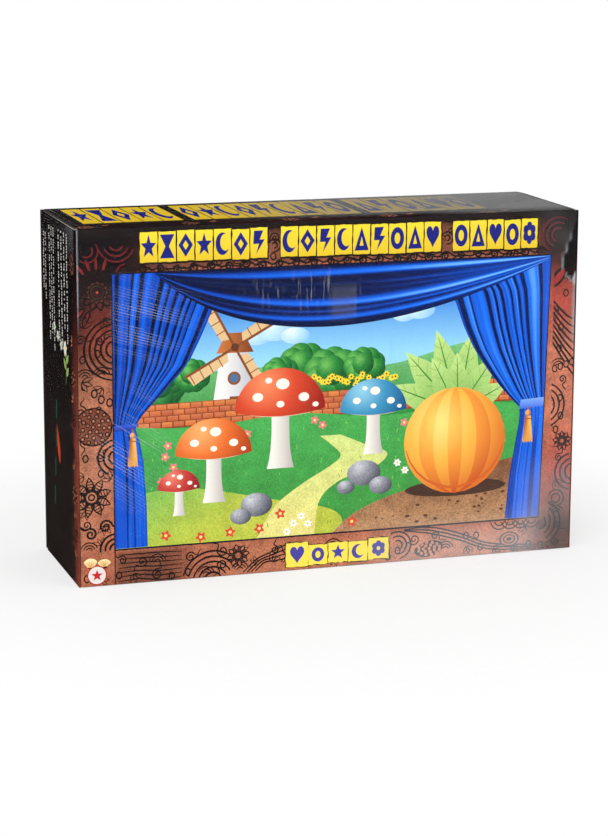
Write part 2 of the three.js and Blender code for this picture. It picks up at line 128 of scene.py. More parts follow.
# %% The sheet
class Sheet:
    """Shapes in paint order on one developed piece of board, whose own ink shows between them."""

    def __init__(self, low, high, ink, pitch):
        self.low, self.high, self.shapes, self.inks = np.array(low), np.array(high), [], [ink]
        u, v = (np.arange(low[k] + pitch / 2, high[k], pitch) for k in (0, 1))
        self.loose = [np.stack(np.meshgrid(u, v), 2).reshape(-1, 2)]

    def shape(self, outline, ink):
        p = np.array(outline, float)
        turn = (p[:, 0] * np.roll(p[:, 1], -1) - p[:, 1] * np.roll(p[:, 0], -1)).sum()
        if abs(turn) > 0.02:
            self.shapes.append(p if turn > 0 else p[::-1])
            self.inks.append(ink)

    def dots(self, points):
        """Points that only make the net finer, so that a graded ink shows well."""
        self.loose.append(np.array(points, float))

    def cell(self, x, y, boxes, loose):
        """The triangles of one small rectangle of the sheet, and the shape on top in each."""
        left, low, right, high = boxes.T
        near = np.flatnonzero((left < x[1]) & (right > x[0]) & (low < y[1]) & (high > y[0]))
        points = [(x[0], y[0]), (x[1], y[0]), (x[1], y[1]), (x[0], y[1])]
        faces = [[0, 1, 2, 3]]
        for k in near:
            faces.append(list(range(len(points), len(points) + len(self.shapes[k]))))
            points += self.shapes[k].tolist()
        keep = (loose > (x[0] + 0.05, y[0] + 0.05)) & (loose < (x[1] - 0.05, y[1] - 0.05))
        points += loose[keep.all(1)].tolist()
        made = delaunay_2d_cdt([Vector(p) for p in points], [], faces, 0, 1e-4, True)
        place = np.array([tuple(v) for v in made[0]])
        kept = [(f, src) for f, src in zip(made[2], made[5]) if 0 in src]
        tris = np.array([f for f, _ in kept])
        reach = [(-1e9, -1e9, 1e9, 1e9)] + boxes[near].tolist()
        top = []
        for (mu, mv), (_, src) in zip(place[tris].mean(1).tolist(), kept):
            top.append(max(k for k in src if reach[k][0] <= mu <= reach[k][2] and reach[k][1] <= mv <= reach[k][3]))
        return place, tris, np.append(-1, near)[top] + 1

    def cut(self, size=30.0):
        """Places, triangles and one colour for each corner."""
        n = np.maximum(1, np.round((self.high - self.low) / size)).astype(int)
        u, v = (np.linspace(self.low[k], self.high[k], n[k] + 1) for k in (0, 1))
        boxes = np.array([(*s.min(0), *s.max(0)) for s in self.shapes])
        loose = np.vstack(self.loose)
        cells = [self.cell(x, y, boxes, loose) for x in zip(u, u[1:]) for y in zip(v, v[1:])]
        starts = np.cumsum([0] + [len(place) for place, _, _ in cells])
        place, tops = np.vstack([c[0] for c in cells]), np.concatenate([c[2] for c in cells])
        tris = np.vstack([c[1] + start for c, start in zip(cells, starts)])
        place, tris, tops = self.join(place, tris, tops, u, v)
        colour = np.zeros((len(tris), 3, 4))
        order = np.argsort(tops, kind="stable")
        for rows in np.split(order, np.flatnonzero(np.diff(tops[order])) + 1):
            ink = self.inks[tops[rows[0]]]
            colour[rows] = ink(place[tris[rows]].reshape(-1, 2)).reshape(-1, 3, 4)
        return place, tris, colour

    def join(self, place, tris, tops, u, v):
        """Makes one vertex of those that meet on the lines between cells."""
        line = (np.abs(place[:, :1] - u).min(1) < 1e-3) | (np.abs(place[:, 1:] - v).min(1) < 1e-3)
        rim = np.flatnonzero(line)
        tree = KDTree(len(rim))
        for k in rim:
            tree.insert((*place[k], 0), int(k))
        tree.balance()
        same = np.arange(len(place))
        for k in rim:
            same[k] = min(hit[1] for hit in tree.find_range((*place[k], 0), 2e-3))
        tris = same[same[tris]]
        good = (tris != np.roll(tris, 1, axis=1)).all(1)
        used, index = np.unique(tris[good], return_inverse=True)
        return place[used], index.reshape(-1, 3), tops[good]


class Reduced:
    """Passes drawings on to a sheet at another size and place."""

    def __init__(self, on, size, u, v):
        self.on, self.size, self.move = on, size, np.array((u, v), float)

    def shape(self, outline, ink):
        self.on.shape(np.array(outline) * self.size + self.move, lambda p: ink((p - self.move) / self.size))

    def dots(self, points):
        self.on.dots(np.array(points) * self.size + self.move)


print("sheets are cut in cells of about 30 mm")

# %% [markdown]
# Small drawing helpers: smooth curves, strokes of even or tapering width, rings, petals and spirals.
# A stroke is a chain of short four-sided shapes, so it can curl tightly without crossing itself. In every
# drawing function "on" is the sheet, and u and v are millimetres along and up it.


# %% Drawing helpers
def polar(u, v, r, a, squash=1.0):
    return np.array((u + r * cos(a), v + r * squash * sin(a)))


def block(u0, v0, u1, v1):
    return [(u0, v0), (u1, v0), (u1, v1), (u0, v1)]


def bezier(p0, p1, p2, p3, n=16):
    t = np.linspace(0, 1, n)[:, None]
    p0, p1, p2, p3 = (np.array(p, float) for p in (p0, p1, p2, p3))
    return (1 - t) ** 3 * p0 + 3 * t * (1 - t) ** 2 * p1 + 3 * t * t * (1 - t) * p2 + t**3 * p3


def through(points, n=6):
    """A smooth curve through given points (Catmull-Rom)."""
    p = np.array(points, float)
    p = np.vstack([2 * p[0] - p[1], p, 2 * p[-1] - p[-2]])
    out = []
    for i in range(1, len(p) - 2):
        a, b, c, d = p[i - 1 : i + 3]
        for t in np.linspace(0, 1, n, endpoint=False):
            bend = (c - a) * t + (2 * a - 5 * b + 4 * c - d) * t**2 + (3 * b - a - 3 * c + d) * t**3
            out.append(0.5 * (2 * b + bend))
    return np.array(out + [p[-2]])


def placed(u, v, x, y, turn):
    c, s = cos(turn), sin(turn)
    return np.stack([u + x * c - y * s, v + x * s + y * c], 1)


def circle(u, v, r, n=20, squash=1.0, turn=0.0):
    a = np.linspace(0, tau, n, endpoint=False)
    return placed(u, v, r * np.cos(a), r * squash * np.sin(a), turn)


def petal(u, v, length, width, turn, n=9):
    t = np.linspace(0, 1, n)
    half = width / 2 * np.sin(np.pi * t**0.8)
    x, y = np.append(t, t[-2:0:-1]) * length, np.append(half, -half[-2:0:-1])
    return placed(u, v, x, y, turn)


def spiral(u, v, r, turns, start, way=1, n=26):
    t = np.linspace(0, 1, n)
    a = start + way * tau * turns * t
    return np.stack([u + r * (1 - 0.9 * t) * np.cos(a), v + r * (1 - 0.9 * t) * np.sin(a)], 1)


def star(u, v, r, n=5, inner=0.42, stretch=1.0):
    a = pi / 2 + np.arange(2 * n) * pi / n
    k = np.where(np.arange(2 * n) % 2, r * inner, r)
    return np.stack([u + k * np.cos(a), v + k * np.sin(a) * stretch], 1)


def stroke(on, line, width, ink, taper=0.0):
    line = np.array(line, float)
    d = np.gradient(line, axis=0)
    d /= np.maximum(np.hypot(*d.T), 1e-9)[:, None]
    t = np.linspace(0, 1, len(line))
    w = width / 2 * (1 - taper * np.abs(2 * t - 1) ** 2)
    side = np.stack([-d[:, 1], d[:, 0]], 1) * w[:, None]
    left, right = line + side, line - side
    for i in range(len(line) - 1):
        on.shape([left[i], left[i + 1], right[i + 1], right[i]], ink)


def rings(on, u, v, discs, n=18, squash=1.0):
    """Discs one on the other, each (radius, ink)."""
    for r, ink in discs:
        on.shape(circle(u, v, r, n, squash), ink)


def draw(on, *groups):
    """Runs each drawing function once for every mark in its group."""
    for kind, *marks in groups:
        for mark in marks:
            kind(on, *mark)


print("drawing helpers: curves, circles, petals, stars, strokes and rings")

# %% [markdown]
# The border of the print is a mottled russet ground that darkens to black at the corners. It is one ink of
# many soft layers, each a colour and the places where it shows; a picture file would be the usual way, but
# this one needs none and stays sharp.


# %% The border's ground
PALE, RED, UMBER, NIGHT = (198, 130, 98), (168, 58, 48), (74, 42, 32), (24, 17, 18)


def ground(p):
    a, b = p.T
    return layered(p, linear((166, 98, 72)), (
        (PALE, 0.75 * smooth(a, 34, 8) * smooth(b, 20, 60) * smooth(b, 176, 140)),
        (PALE, (0.35 * smooth(a, 84, 112) + 0.5 * smooth(a, 210, 262)) * smooth(b, 26, 18) * smooth(a, 350, 325)),
        (RED, 0.9 * smooth(b, 150, 190) * smooth(a, 60, 20)),
        (RED, 0.8 * smooth(a, 350, 364) * smooth(b, 20, 60)),
        (UMBER, 0.6 * smooth(b, 27, 22) * smooth(a, 26, 29) * smooth(a, 92, 66)),
        (PALE, 0.6 * smooth(a, 352, 360) * smooth(b, 190, 150) * smooth(b, 60, 110)),
        (UMBER, 0.55 * smooth(b, 224, 230)),
        (NIGHT, 0.35 * smooth(b, 242, 250) + 0.25 * smooth(b, 226, 230) * smooth(a, 150, 60)),
        (UMBER, 0.3 * smooth(a, 24, 2) * smooth(b, 30, 60) + 0.4 * smooth(b, 104, 190) * smooth(a, 66, 20)),
        (NIGHT, 0.8 * smooth(b, 120, 226) * smooth(a, 12, 0)),
        (NIGHT, 0.97 * smooth(b, 172, 222) * smooth(a, 72, 26)),
        ((6, 4, 6), 0.85 * smooth(b, 206, 238) * smooth(a, 64, 34)),
        (NIGHT, 0.97 * smooth(b, 186, 232) * smooth(a, 338, 358)),
        (NIGHT, smooth(b, 249, 255))), 0.95)


print("the ground's colour at the foot's middle:", ground(np.array([[190.0, 10.0]])).round(2))

# %% [markdown]
# Black line flowers, curls, pods and beads cover the ground. They are a common kind of doodle, laid out
# afresh here. A motif is a dark shape with a smaller one in the ground's ink on it, which leaves a line of
# even width between them.

# %% Motifs of the border
LINE = flat((27, 17, 15), 0.15)
SHADE = flat((86, 44, 34), 0.5)


def flower(on, u, v, r, petals, core=0.45, count=3, ink=ground):
    on.shape(circle(u, v, r * 0.8, 22), SHADE)
    for i in range(petals):
        turn = tau * i / petals + 0.2
        on.shape(petal(*polar(u, v, r * core, turn), r * (1 - core), r * 0.42, turn), LINE)
        on.shape(petal(*polar(u, v, r * (core + 0.08), turn), r * (0.8 - core), r * 0.2, turn), ink)
    for i in range(count):
        k = r * core * (1 - i / (count + 0.3))
        rings(on, u, v, ((k, LINE), (k * 0.78, ink if i else flat((70, 52, 40), 0.5))))
    on.shape(circle(u, v, r * 0.07, 8), flat((176, 70, 48)))


def curl(on, u, v, r, start, way, tail, width=1.7):
    line = spiral(u, v, r, 1.6, start, way)
    tip = line[0]
    d = (tip - line[1]) / np.hypot(*(tip - line[1]))
    lead = bezier(np.add(tip, tail), np.add(tip, np.multiply(tail, 0.5)), tip + d * r, tip, 9)
    stroke(on, np.vstack([lead, line[1:]]), width, LINE, 0.4)


def pods(on, u, v, size, turn, count=3):
    for i in range(count):
        a = turn + (i - (count - 1) / 2) * 0.7
        on.shape(petal(u, v, size, size * 0.42, a), LINE)
        on.shape(petal(*polar(u, v, 0.14 * size, a), size * 0.74, size * 0.24, a), ground)


def beads(on, u, v, r, rows):
    rings(on, u, v, ((r, LINE), (r * 0.93, flat((120, 64, 46), 0.7))), 26)
    for k, n in rows:
        for i in range(n):
            spot = polar(u, v, r * k, tau * i / n + k)
            on.shape(circle(*spot, r * 0.13, 9), LINE)
            on.shape(circle(*spot, r * 0.07, 8), ground)


def nest(on, u, v, radii, start, end, width=1.7, ink=LINE):
    """Arcs one inside the other."""
    a = np.radians(np.linspace(start, end, 16))
    for r in radii:
        stroke(on, np.stack([u + r * np.cos(a), v + r * np.sin(a)], 1), width, ink, 0.3)


def loops(on, points, r):
    for u, v in points:
        on.shape(circle(u, v, r, 14, 1.3), LINE)
        on.shape(circle(u, v, r * 0.6, 12, 1.4), ground)


def striped_daisy(on, u, v, r, petals):
    on.shape(circle(u, v, r * 0.6, 22), LINE)
    for i in range(petals):
        a = tau * i / petals + 0.3
        on.shape(petal(*polar(u, v, 0.3 * r, a), r * 0.72, r * 0.42, a), LINE)
        on.shape(petal(*polar(u, v, 0.38 * r, a), r * 0.54, r * 0.26, a), ground)
        side = np.array((-sin(a), cos(a))) * r * 0.15
        for k in (0.5, 0.64, 0.78):
            p = polar(u, v, r * k, a)
            stroke(on, [p - side, p + side], 0.8, LINE)
    rings(on, u, v, ((r * 0.34, LINE), (r * 0.26, ground), (r * 0.18, LINE), (r * 0.1, ground)))


def filler(on):
    """Small curls, pods and rings all over the border, under the large motifs."""
    for u0 in np.arange(6, LENGTH, 12.5):
        for v0 in np.arange(6, HEIGHT, 12.5):
            u, v = u0 + dice.uniform(-3, 3), v0 + dice.uniform(-3, 3)
            if 22 < u < 358 and 20 < v < 231:
                continue
            kind, turn = dice.randrange(4), dice.uniform(0, 6.3)
            if kind == 0:
                curl(on, u, v, dice.uniform(3, 4.4), turn, dice.choice((-1, 1)), polar(0, 0, 6, turn), 1.1)
            elif kind == 1:
                pods(on, u, v, dice.uniform(6, 8), turn)
            elif kind == 2:
                nest(on, u, v - 2, (2.4, 4.4, 6.4), 20, 160, 1.0)
            else:
                loops(on, ((u, v),), 2.4)


print("border motifs: flower, curl, pods, beads, nest, loops, striped daisy")

# %% [markdown]
# On the real box the motifs crowd together and large ones lie over small ones. So a loose net of small
# ones is strewn first, and the large ones are set on it one by one, strip by strip.


# %% The border
def left_strip(on):
    for i in range(11):
        a = 1.3 + 0.3 * i
        on.shape(petal(*polar(16, 213, 13, a), 14, 4.6, a), LINE)
        on.shape(petal(*polar(16, 213, 15.5, a), 9.5, 1.9, a), flat((126, 34, 36), 0.6))
    dark = flat((98, 28, 32), 0.6)
    draw(on, (flower, (16, 213, 14, 12)),
         (nest, (30, 247, (5, 9, 13), 200, 340, 1.3, dark), (9, 242, (4, 8), 230, 400, 1.3, dark),
          (60, 238, (4, 8, 12), 100, 260, 1.3, dark), (36, 226, (3, 6), 90, 300, 1.3, dark),
          (364, 240, (5, 9, 13), 60, 250, 1.3, dark), (28, 172, (6, 10, 14, 18, 22), 95, 265)),
         (pods, (5, 188, 9, 1.2), (4, 150, 9, -0.4)),
         (loops, (((13, 141), (18, 136.5), (24, 134)), 2.6)),
         (beads, (12, 117, 14, ((0.0, 1), (0.3, 5), (0.56, 9), (0.82, 14)))),
         (nest, (28, 94, (5, 9, 13), 95, 265)), (striped_daisy, (10, 66, 15, 9)), (pods, (24, 78, 8, 2.4)),
         (curl, (20, 44, 5, 0.2, 1, (6, 8)), (9, 39, 4.5, 2.2, -1, (-8, 5))),
         (nest, (27, 27, (4, 7.5, 11), 90, 190)))
    on.shape(block(26.0, 0.4, 27.2, 27), SHADE)


def bottom_band(on):
    for i in range(7):
        grain = [(29, 2.5 + 3.3 * i), (44, 3.6 + 3.1 * i), (60, 1.8 + 3.4 * i), (76, 3 + 3.1 * i)]
        stroke(on, through(grain), 1.1, LINE, 0.6)
    draw(on, (nest, (99, -3, (7, 11, 15, 19, 23), 30, 165, 1.5)), (flower, (118, 15, 9, 8, 0.42, 3)))
    for i in range(4):
        blade = [(122 + 3 * i, 2), (132 + 2 * i, 11 - i), (144, 16 - 2.4 * i), (158, 22 - 4 * i)]
        stroke(on, through(blade), 1.2, LINE, 0.3)
    nest(on, 241, 13, (3.6, 7, 10.4), -80, 120, 1.3)
    for i in range(3):
        reed = [(246, 24.5 - 0.5 * i), (266, 25 - 2.4 * i), (290, 18.5 - 2.6 * i),
                (314, 9 - 2.2 * i), (352, 5 - 1.6 * i)]
        stroke(on, through(reed), 1.2, LINE, 0.3)
    on.shape(circle(266, 8.5, 11, 24, 0.55, 0.2), LINE)
    for k, n in ((0.0, 1), (0.42, 7), (0.76, 12)):
        for i in range(n):
            a = tau * i / n + k
            on.shape(circle(266 + 11 * k * cos(a), 8.5 + 6.2 * k * sin(a), 1.35, 9), ground)
    for i in range(4):
        nest(on, 322 + 8.5 * i, 26, (4, 7), 190, 350, 1.1)
    rings(on, 330, 11, ((8, LINE), (6.8, ground), (5, LINE), (3.9, ground), (2, LINE)), 22, 0.72)


def right_strip(on):
    for i in range(8):
        comb = [(357, 196 - 4.4 * i), (364, 188 - 4.4 * i), (371, 178 - 5 * i), (379, 176 - 6 * i)]
        stroke(on, bezier(*comb, 10), 1.6, LINE, 0.3)
    on.shape(petal(358, 200, 24, 9, 0.9), LINE)
    on.shape(petal(360, 202, 18, 5, 0.9), flat((150, 44, 40), 0.5))
    draw(on, (loops, ([(359 + 4.6 * k, 138 + 1.5 * k) for k in range(5)], 2.3)),
         (nest, (355, 112, (5, 9, 13, 17), -90, 90, 1.4)), (flower, (371, 84, 8, 9, 0.42, 2)),
         (nest, (380, 60, (6, 10, 14), 100, 260)),
         (rings, (367, 40, ((7, LINE), (5.8, ground), (4, LINE), (2.8, ground)), 20)),
         (nest, (353, 22, (6, 10, 14, 18), -60, 60, 1.4)))


def scrolls(on):
    """Between the title and the curtains, and above the title."""
    for i in range(26):
        u = 36 + 12.6 * i
        curl(on, u, 228.2 + dice.uniform(-0.8, 0.8), 3.3, 0.4 + 1.9 * i, (-1) ** i, (8, 1.6 * (-1) ** i), 1.5)
        wave = [(u - 7, 226.2), (u, 229.5 + dice.uniform(-2, 2)), (u + 8, 227.4), (u + 14, 230.6)]
        stroke(on, through(wave), 1.3, LINE, 0.6)
        stroke(on, through([(u - 4, 254.2), (u + 4, 252.8), (u + 12, 255), (u + 20, 253.4)]), 1.6, LINE, 0.5)
    for u in (145.5, 276.5):
        nest(on, u, 241, (2, 4.5), -100, 160, 1.3)


def border(on):
    for part in (filler, left_strip, bottom_band, right_strip, scrolls):
        part(on)


print("border: left strip, bottom band, right strip and scrolls")

# %% [markdown]
# Title tiles, the plaque and the round badge stand where the box carries words. They hold plain shapes
# only: stars, rings, moons, hearts and the like, in the same blue on the same torn-edged yellow tiles.
# Signs with straight sides are lists of corners, and the round ones are drawn from circles.

# %% Nine plain signs
TILE = ramp((246, 222, 58), (226, 190, 44), (0, 256), (0, 228))
RIM = flat((24, 16, 14))
BLUE = flat((28, 34, 122))
STAR, RING, DIAMOND, HEART, MOON, BLOSSOM, BOLT, HOURGLASS, TRIANGLE = range(9)
CORNERED = {
    DIAMOND: ([(0, 0.5), (0.5, 0), (0, -0.5), (-0.5, 0)], [(0, 0.2), (0.2, 0), (0, -0.2), (-0.2, 0)]),
    BOLT: ([(-0.35, 0.5), (0.3, 0.5), (0.05, 0.12), (0.4, 0.12), (-0.2, -0.5), (0.0, -0.06), (-0.4, -0.06)],),
    HOURGLASS: ([(-0.5, -0.5), (0.5, -0.5), (0.12, 0.0), (0.5, 0.5), (-0.5, 0.5), (-0.12, 0.0)],),
    TRIANGLE: ([(0, 0.5), (0.5, -0.5), (-0.5, -0.5)], [(0, 0.1), (1 / 7, -1 / 3.4), (-1 / 7, -1 / 3.4)])}


def symbol(on, kind, u, v, w, h, ink, back):
    k = h / w
    if kind in CORNERED:
        for corners, paint in zip(CORNERED[kind], (ink, back)):
            on.shape([(u + x * w, v + y * h) for x, y in corners], paint)
    elif kind == STAR:
        on.shape(star(u, v, w * 0.56, 5, 0.42, k * 0.92), ink)
    elif kind == RING:
        on.shape(circle(u, v, w * 0.48, 22, k), ink)
        on.shape(circle(u, v, w * 0.2, 18, k * 1.2), back)
    elif kind == HEART:
        t = np.linspace(0, tau, 24, endpoint=False)
        y = (13 * np.cos(t) - 5 * np.cos(2 * t) - 2 * np.cos(3 * t) - np.cos(4 * t)) / 30
        on.shape(np.stack([u + 16 * np.sin(t) ** 3 / 34 * w, v + (y + 0.06) * h], 1), ink)
    elif kind == MOON:
        on.shape(circle(u, v, w * 0.48, 22, k), ink)
        on.shape(circle(u + 0.2 * w, v + 0.06 * h, w * 0.36, 20, k), back)
    else:
        for i in range(6):
            on.shape(circle(*polar(u, v, 0.3 * w, tau * i / 6 + pi / 6, k), w * 0.2, 12, k), ink)
        on.shape(circle(u, v, w * 0.13, 10, k), back)


print("signs with straight sides:", len(CORNERED), "of", TRIANGLE + 1)

# %% [markdown]
# A tile looks torn from yellow paper. Its edge wanders a little, and a dark rim shows below and beside it,
# where the tile stands off the ground.


# %% Tiles, plaque and badge
def torn(u0, v0, u1, v1, rough, n=6):
    """A rectangle whose edges wander a little, as torn paper does."""
    out = []
    corners = np.array(block(u0, v0, u1, v1), float)
    for p, q in zip(corners, np.roll(corners, -1, axis=0)):
        for t in np.linspace(0, 1, n, endpoint=False):
            j = rough if t else rough * 0.5
            out.append(p + (q - p) * t + (dice.uniform(-j, j), dice.uniform(-j, j)))
    return out


def tile(on, u0, v0, w, h, kind):
    edge = torn(u0, v0, u0 + w, v0 + h, 0.3)
    middle = np.mean(edge, 0)
    on.shape(middle + (np.array(edge) - middle) * (1 + 1.3 / w) + (0.35, -0.35), RIM)
    on.shape(edge, TILE)
    symbol(on, kind, u0 + w / 2, v0 + h * 0.51, w * 0.84, h * 0.78, BLUE, TILE)


def title(on, groups, low, high, slope=0.0, middle=190):
    """Rows of tiles, each group given by its start, its end and its number of tiles."""
    kind = 0
    for start, end, count in groups:
        pitch = (end - start) / count
        for i in range(count):
            u = start + pitch * i
            rise = slope * (u - middle) + dice.uniform(-0.4, 0.4)
            tile(on, u, low + rise, pitch - 0.9, high - low, kind % 9)
            kind += 4 if i % 2 else 7


def plaque(on):
    gold, violet = flat((244, 222, 84)), flat((72, 66, 158))
    spots = ((163, 12, 15, 17, HEART), (179, 11, 13, 14, RING), (194.5, 11.5, 13, 14, STAR), (210, 11, 13, 14, MOON),
             (226, 12, 14, 15, BLOSSOM))
    for wide, tall, rough, ink in ((1.6, 1, 0.5, RIM), (1, 0.5, 0.4, gold)):
        for u, v, w, h, _ in spots:
            on.shape(torn(u - w / 2 - wide, v - h / 2 - tall, u + w / 2 + wide, v + h / 2 + tall, rough), ink)
    for u, v, w, h, kind in spots:
        symbol(on, kind, u, v, w * 0.78, h * 0.8, violet, gold)


def badge(on):
    """Two small fans over a round red badge with a star."""
    for u, way in ((8.6, 1), (18.6, -1)):
        fan = [(u + 5 * cos(a), 17.2 + way * 0.6 + 3.6 * sin(a)) for a in np.linspace(0.15, pi - 0.15, 9)]
        fan += [(u - 2.4, 14.8 if way > 0 else 14.6), (u + 2.4, 14.6 if way > 0 else 14.8)]
        on.shape(np.array(fan) + (0.3, -0.4), flat((120, 44, 34)))
        on.shape(fan, ramp((244, 226, 170), (226, 178, 110), (u, 20), (u, 14)))
        for a in (0.7, 1.3, 1.9, 2.5):
            stroke(on, [(u, 15.2), (u + 3.6 * cos(a), 16.6 + 2.8 * sin(a))], 0.35, flat((200, 140, 70)))
    rings(on, 13.2, 8.6, ((7.2, flat((186, 38, 44))), (6.4, flat((226, 220, 214)))), 30)
    on.shape(star(13.2, 8.4, 4.4), flat((196, 34, 44)))


print("tile, title, plaque and badge are ready")

# %% [markdown]
# The picture inside the painted curtains is a plain country scene of common things in airbrushed
# colours: sky, trees, a low brick wall, a meadow with a path, toadstools, stones, a windmill, a big
# orange gourd and broad leaves. Each rounded thing gets an ink that is lit from the upper left.


# %% Things of the country scene
def rounded(on, u, v, r, light, middle, dark, squash=1.0, n=26, grain=0.1):
    on.shape(circle(u, v, r, n, squash), ball(light, middle, dark, (u, v), r, grain=grain))
    for k in (0.3, 0.6, 0.85):
        on.dots(circle(u, v, r * k, 14, squash))


def bush(on, u, v, r):
    green = (112, 190, 92), (44, 132, 58), (22, 84, 40)
    for i in range(9):
        a = tau * i / 9 + u
        rounded(on, u + 0.55 * r * cos(a), v + 0.42 * r * sin(a), r * 0.48, *green, 1, 16, 0.4)
    rounded(on, u - 0.08 * r, v + 0.1 * r, r * 0.52, *green, 1, 18, 0.4)


def daisy(on, u, v, r, rgb, middle, petals):
    for i in range(petals):
        on.shape(petal(u, v, r, r * 0.62, tau * i / petals + u, 7), flat(rgb))
    on.shape(circle(u, v, r * 0.28, 9), flat(middle))


def toadstool(on, u, v, size, cap, deep, light):
    w, h = size * 0.46, size

    def within(points):
        return [(u + w * x, v + h * y) for x, y in points]

    side = ((-0.3, 0), (-0.16, 0.2), (-0.2, 0.5), (-0.2, 0.62))
    stem = np.vstack([bezier(*within(side), 8), bezier(*within([(-x, y) for x, y in side[::-1]]), 8)])
    on.shape(stem, ramp((250, 246, 236), (176, 168, 166), (u - w * 0.25, v), (u + w * 0.35, v)))
    on.shape(circle(u, v + h * 0.6, w * 0.86, 22, 0.22), flat((214, 190, 160)))
    top = [(cos(a), 0.58 + 0.42 * sin(a)) for a in np.linspace(0, pi, 20)]
    top += [(x, 0.58 - 0.06 * (1 - x * x)) for x in np.linspace(-0.9, 0.9, 7)]
    on.shape(within(top), ball(light, cap, deep, (u, v + h * 0.74), w, (-0.35, 0.25)))
    on.dots(within((x, y) for x in (-0.6, -0.3, 0, 0.3, 0.6) for y in (0.65, 0.75, 0.86)))
    for x, y, r in ((-0.5, 0.72, 0.12), (0.05, 0.84, 0.15), (0.52, 0.7, 0.12), (0.0, 0.64, 0.09), (-0.26, 0.88, 0.08),
                    (0.78, 0.62, 0.07)):
        on.shape(circle(u + w * x, v + h * y, w * r, 12, 0.8), flat((248, 240, 226)))


def broad_leaf(on, u, v, length, width, turn):
    on.shape(petal(u, v, length, width, turn, 14),
             ramp((104, 168, 70), (196, 226, 138), (u, v), polar(u, v, length, turn), 0.2))
    rib = [polar(u, v, length * k, turn) for k in (0, 0.5, 0.92)]
    stroke(on, through(rib), width * 0.05, flat((74, 138, 52)), 0.8)
    for k in (0.25, 0.42, 0.6, 0.76):
        p = polar(u, v, length * k, turn)
        for way in (-1, 1):
            stroke(on, [p, polar(*p, width * 0.34, turn + way * 0.75)], width * 0.025, flat((90, 152, 60)), 0.5)


def gourd(on, u, v, r):
    turns = np.linspace(-1, 1, 8)
    t = np.linspace(-pi / 2, pi / 2, 15)
    tones = (((255, 226, 130), (250, 182, 72), (214, 112, 44)), ((252, 214, 104), (244, 156, 60), (196, 84, 36)))
    for i in range(7):
        left, right = (np.stack([u + r * k * np.cos(t), v + r * np.sin(t)], 1) for k in turns[i : i + 2])
        on.shape(np.vstack([left, right[::-1]]), ball(*tones[i % 2], (u, v), r, (-0.3, 0.35)))
    for k in (0.3, 0.55, 0.8):
        on.dots(circle(u, v, r * k, 18))
    stroke(on, circle(u, v + 0.1 * r, r * 0.99, 26)[14:26], r * 0.05, flat((206, 96, 40)), 0.7)


def windmill(on, u, v, size):
    def tapered(low, wide, high, narrow, ink):
        corners = ((-wide, low), (wide, low), (narrow, high), (-narrow, high))
        on.shape([(u + size * x, v + size * y) for x, y in corners], ink)

    tapered(0, 0.27, 0.7, 0.16, ramp((246, 244, 238), (168, 172, 186), (u - size * 0.2, v), (u + size * 0.28, v)))
    tapered(0.68, 0.21, 0.9, 0.1, ramp((206, 120, 62), (122, 60, 34), (u - size * 0.2, v), (u + size * 0.2, v)))
    for k, n, rgb in ((0.075, 16, (140, 82, 46)), (0.05, 14, (80, 112, 150))):
        on.shape(circle(u - size * 0.01, v + size * 0.4, size * k, n), flat(rgb))
    tapered(0, 0.07, 0.2, 0.06, flat((132, 78, 44)))
    hub = np.array((u, v + size * 0.74))
    for i in range(4):
        a = 0.5 + i * pi / 2
        d, s = np.array([cos(a), sin(a)]) * size, np.array([-sin(a), cos(a)]) * size
        sail = [hub + d * 0.1, hub + d * 0.62, hub + d * 0.6 + s * 0.13, hub + d * 0.14 + s * 0.1]
        on.shape(sail, flat((226, 190, 140)))
        for k in (0.22, 0.34, 0.46, 0.58):
            stroke(on, [hub + d * k, hub + d * k + s * 0.12], size * 0.012, flat((150, 92, 52)))
        stroke(on, [hub, hub + d * 0.64], size * 0.028, flat((134, 76, 42)))
    on.shape(circle(*hub, size * 0.045, 12), flat((96, 54, 34)))


print("things of the scene: bushes, daisies, toadstools, leaves, a gourd and a windmill")

# %% [markdown]
# The scene is painted from far to near, as a stage backdrop is: sky and hills, the wall, the meadow and
# its path, and the large things last.

# %% The country scene
U0, U1, V0, V1 = 27, 359, 26.8, 225  # the picture's window in the border
POPPY, OXEYE = ((214, 74, 56), (250, 220, 120), 5), ((250, 250, 250), (240, 200, 60), 6)


def land(on, edge, corners, *ink):
    on.shape(np.vstack([through(edge), corners]), ramp(*ink))


def brick_wall(on):
    on.shape([(U0, 112), (U1, 118), (U1, 136), (U0, 130)],
             ramp((120, 58, 30), (150, 74, 40), (0, 112), (0, 134), 0.4))
    for row in range(4):
        for i in range(-1, 40):
            u = U0 + 8.6 * (i + 0.5 * (row % 2))
            v = 113 + 4.3 * row + 0.018 * (u - U0)
            if U0 + 0.4 < u and u + 7.9 < U1:
                tone = dice.uniform(-14, 14)
                on.shape(block(u + 0.4, v, u + 8.1, v + 3.7),
                         ramp((192 + tone, 98 + tone, 54), (216 + tone, 130 + tone, 82), (u, v), (u, v + 4), 0.3))


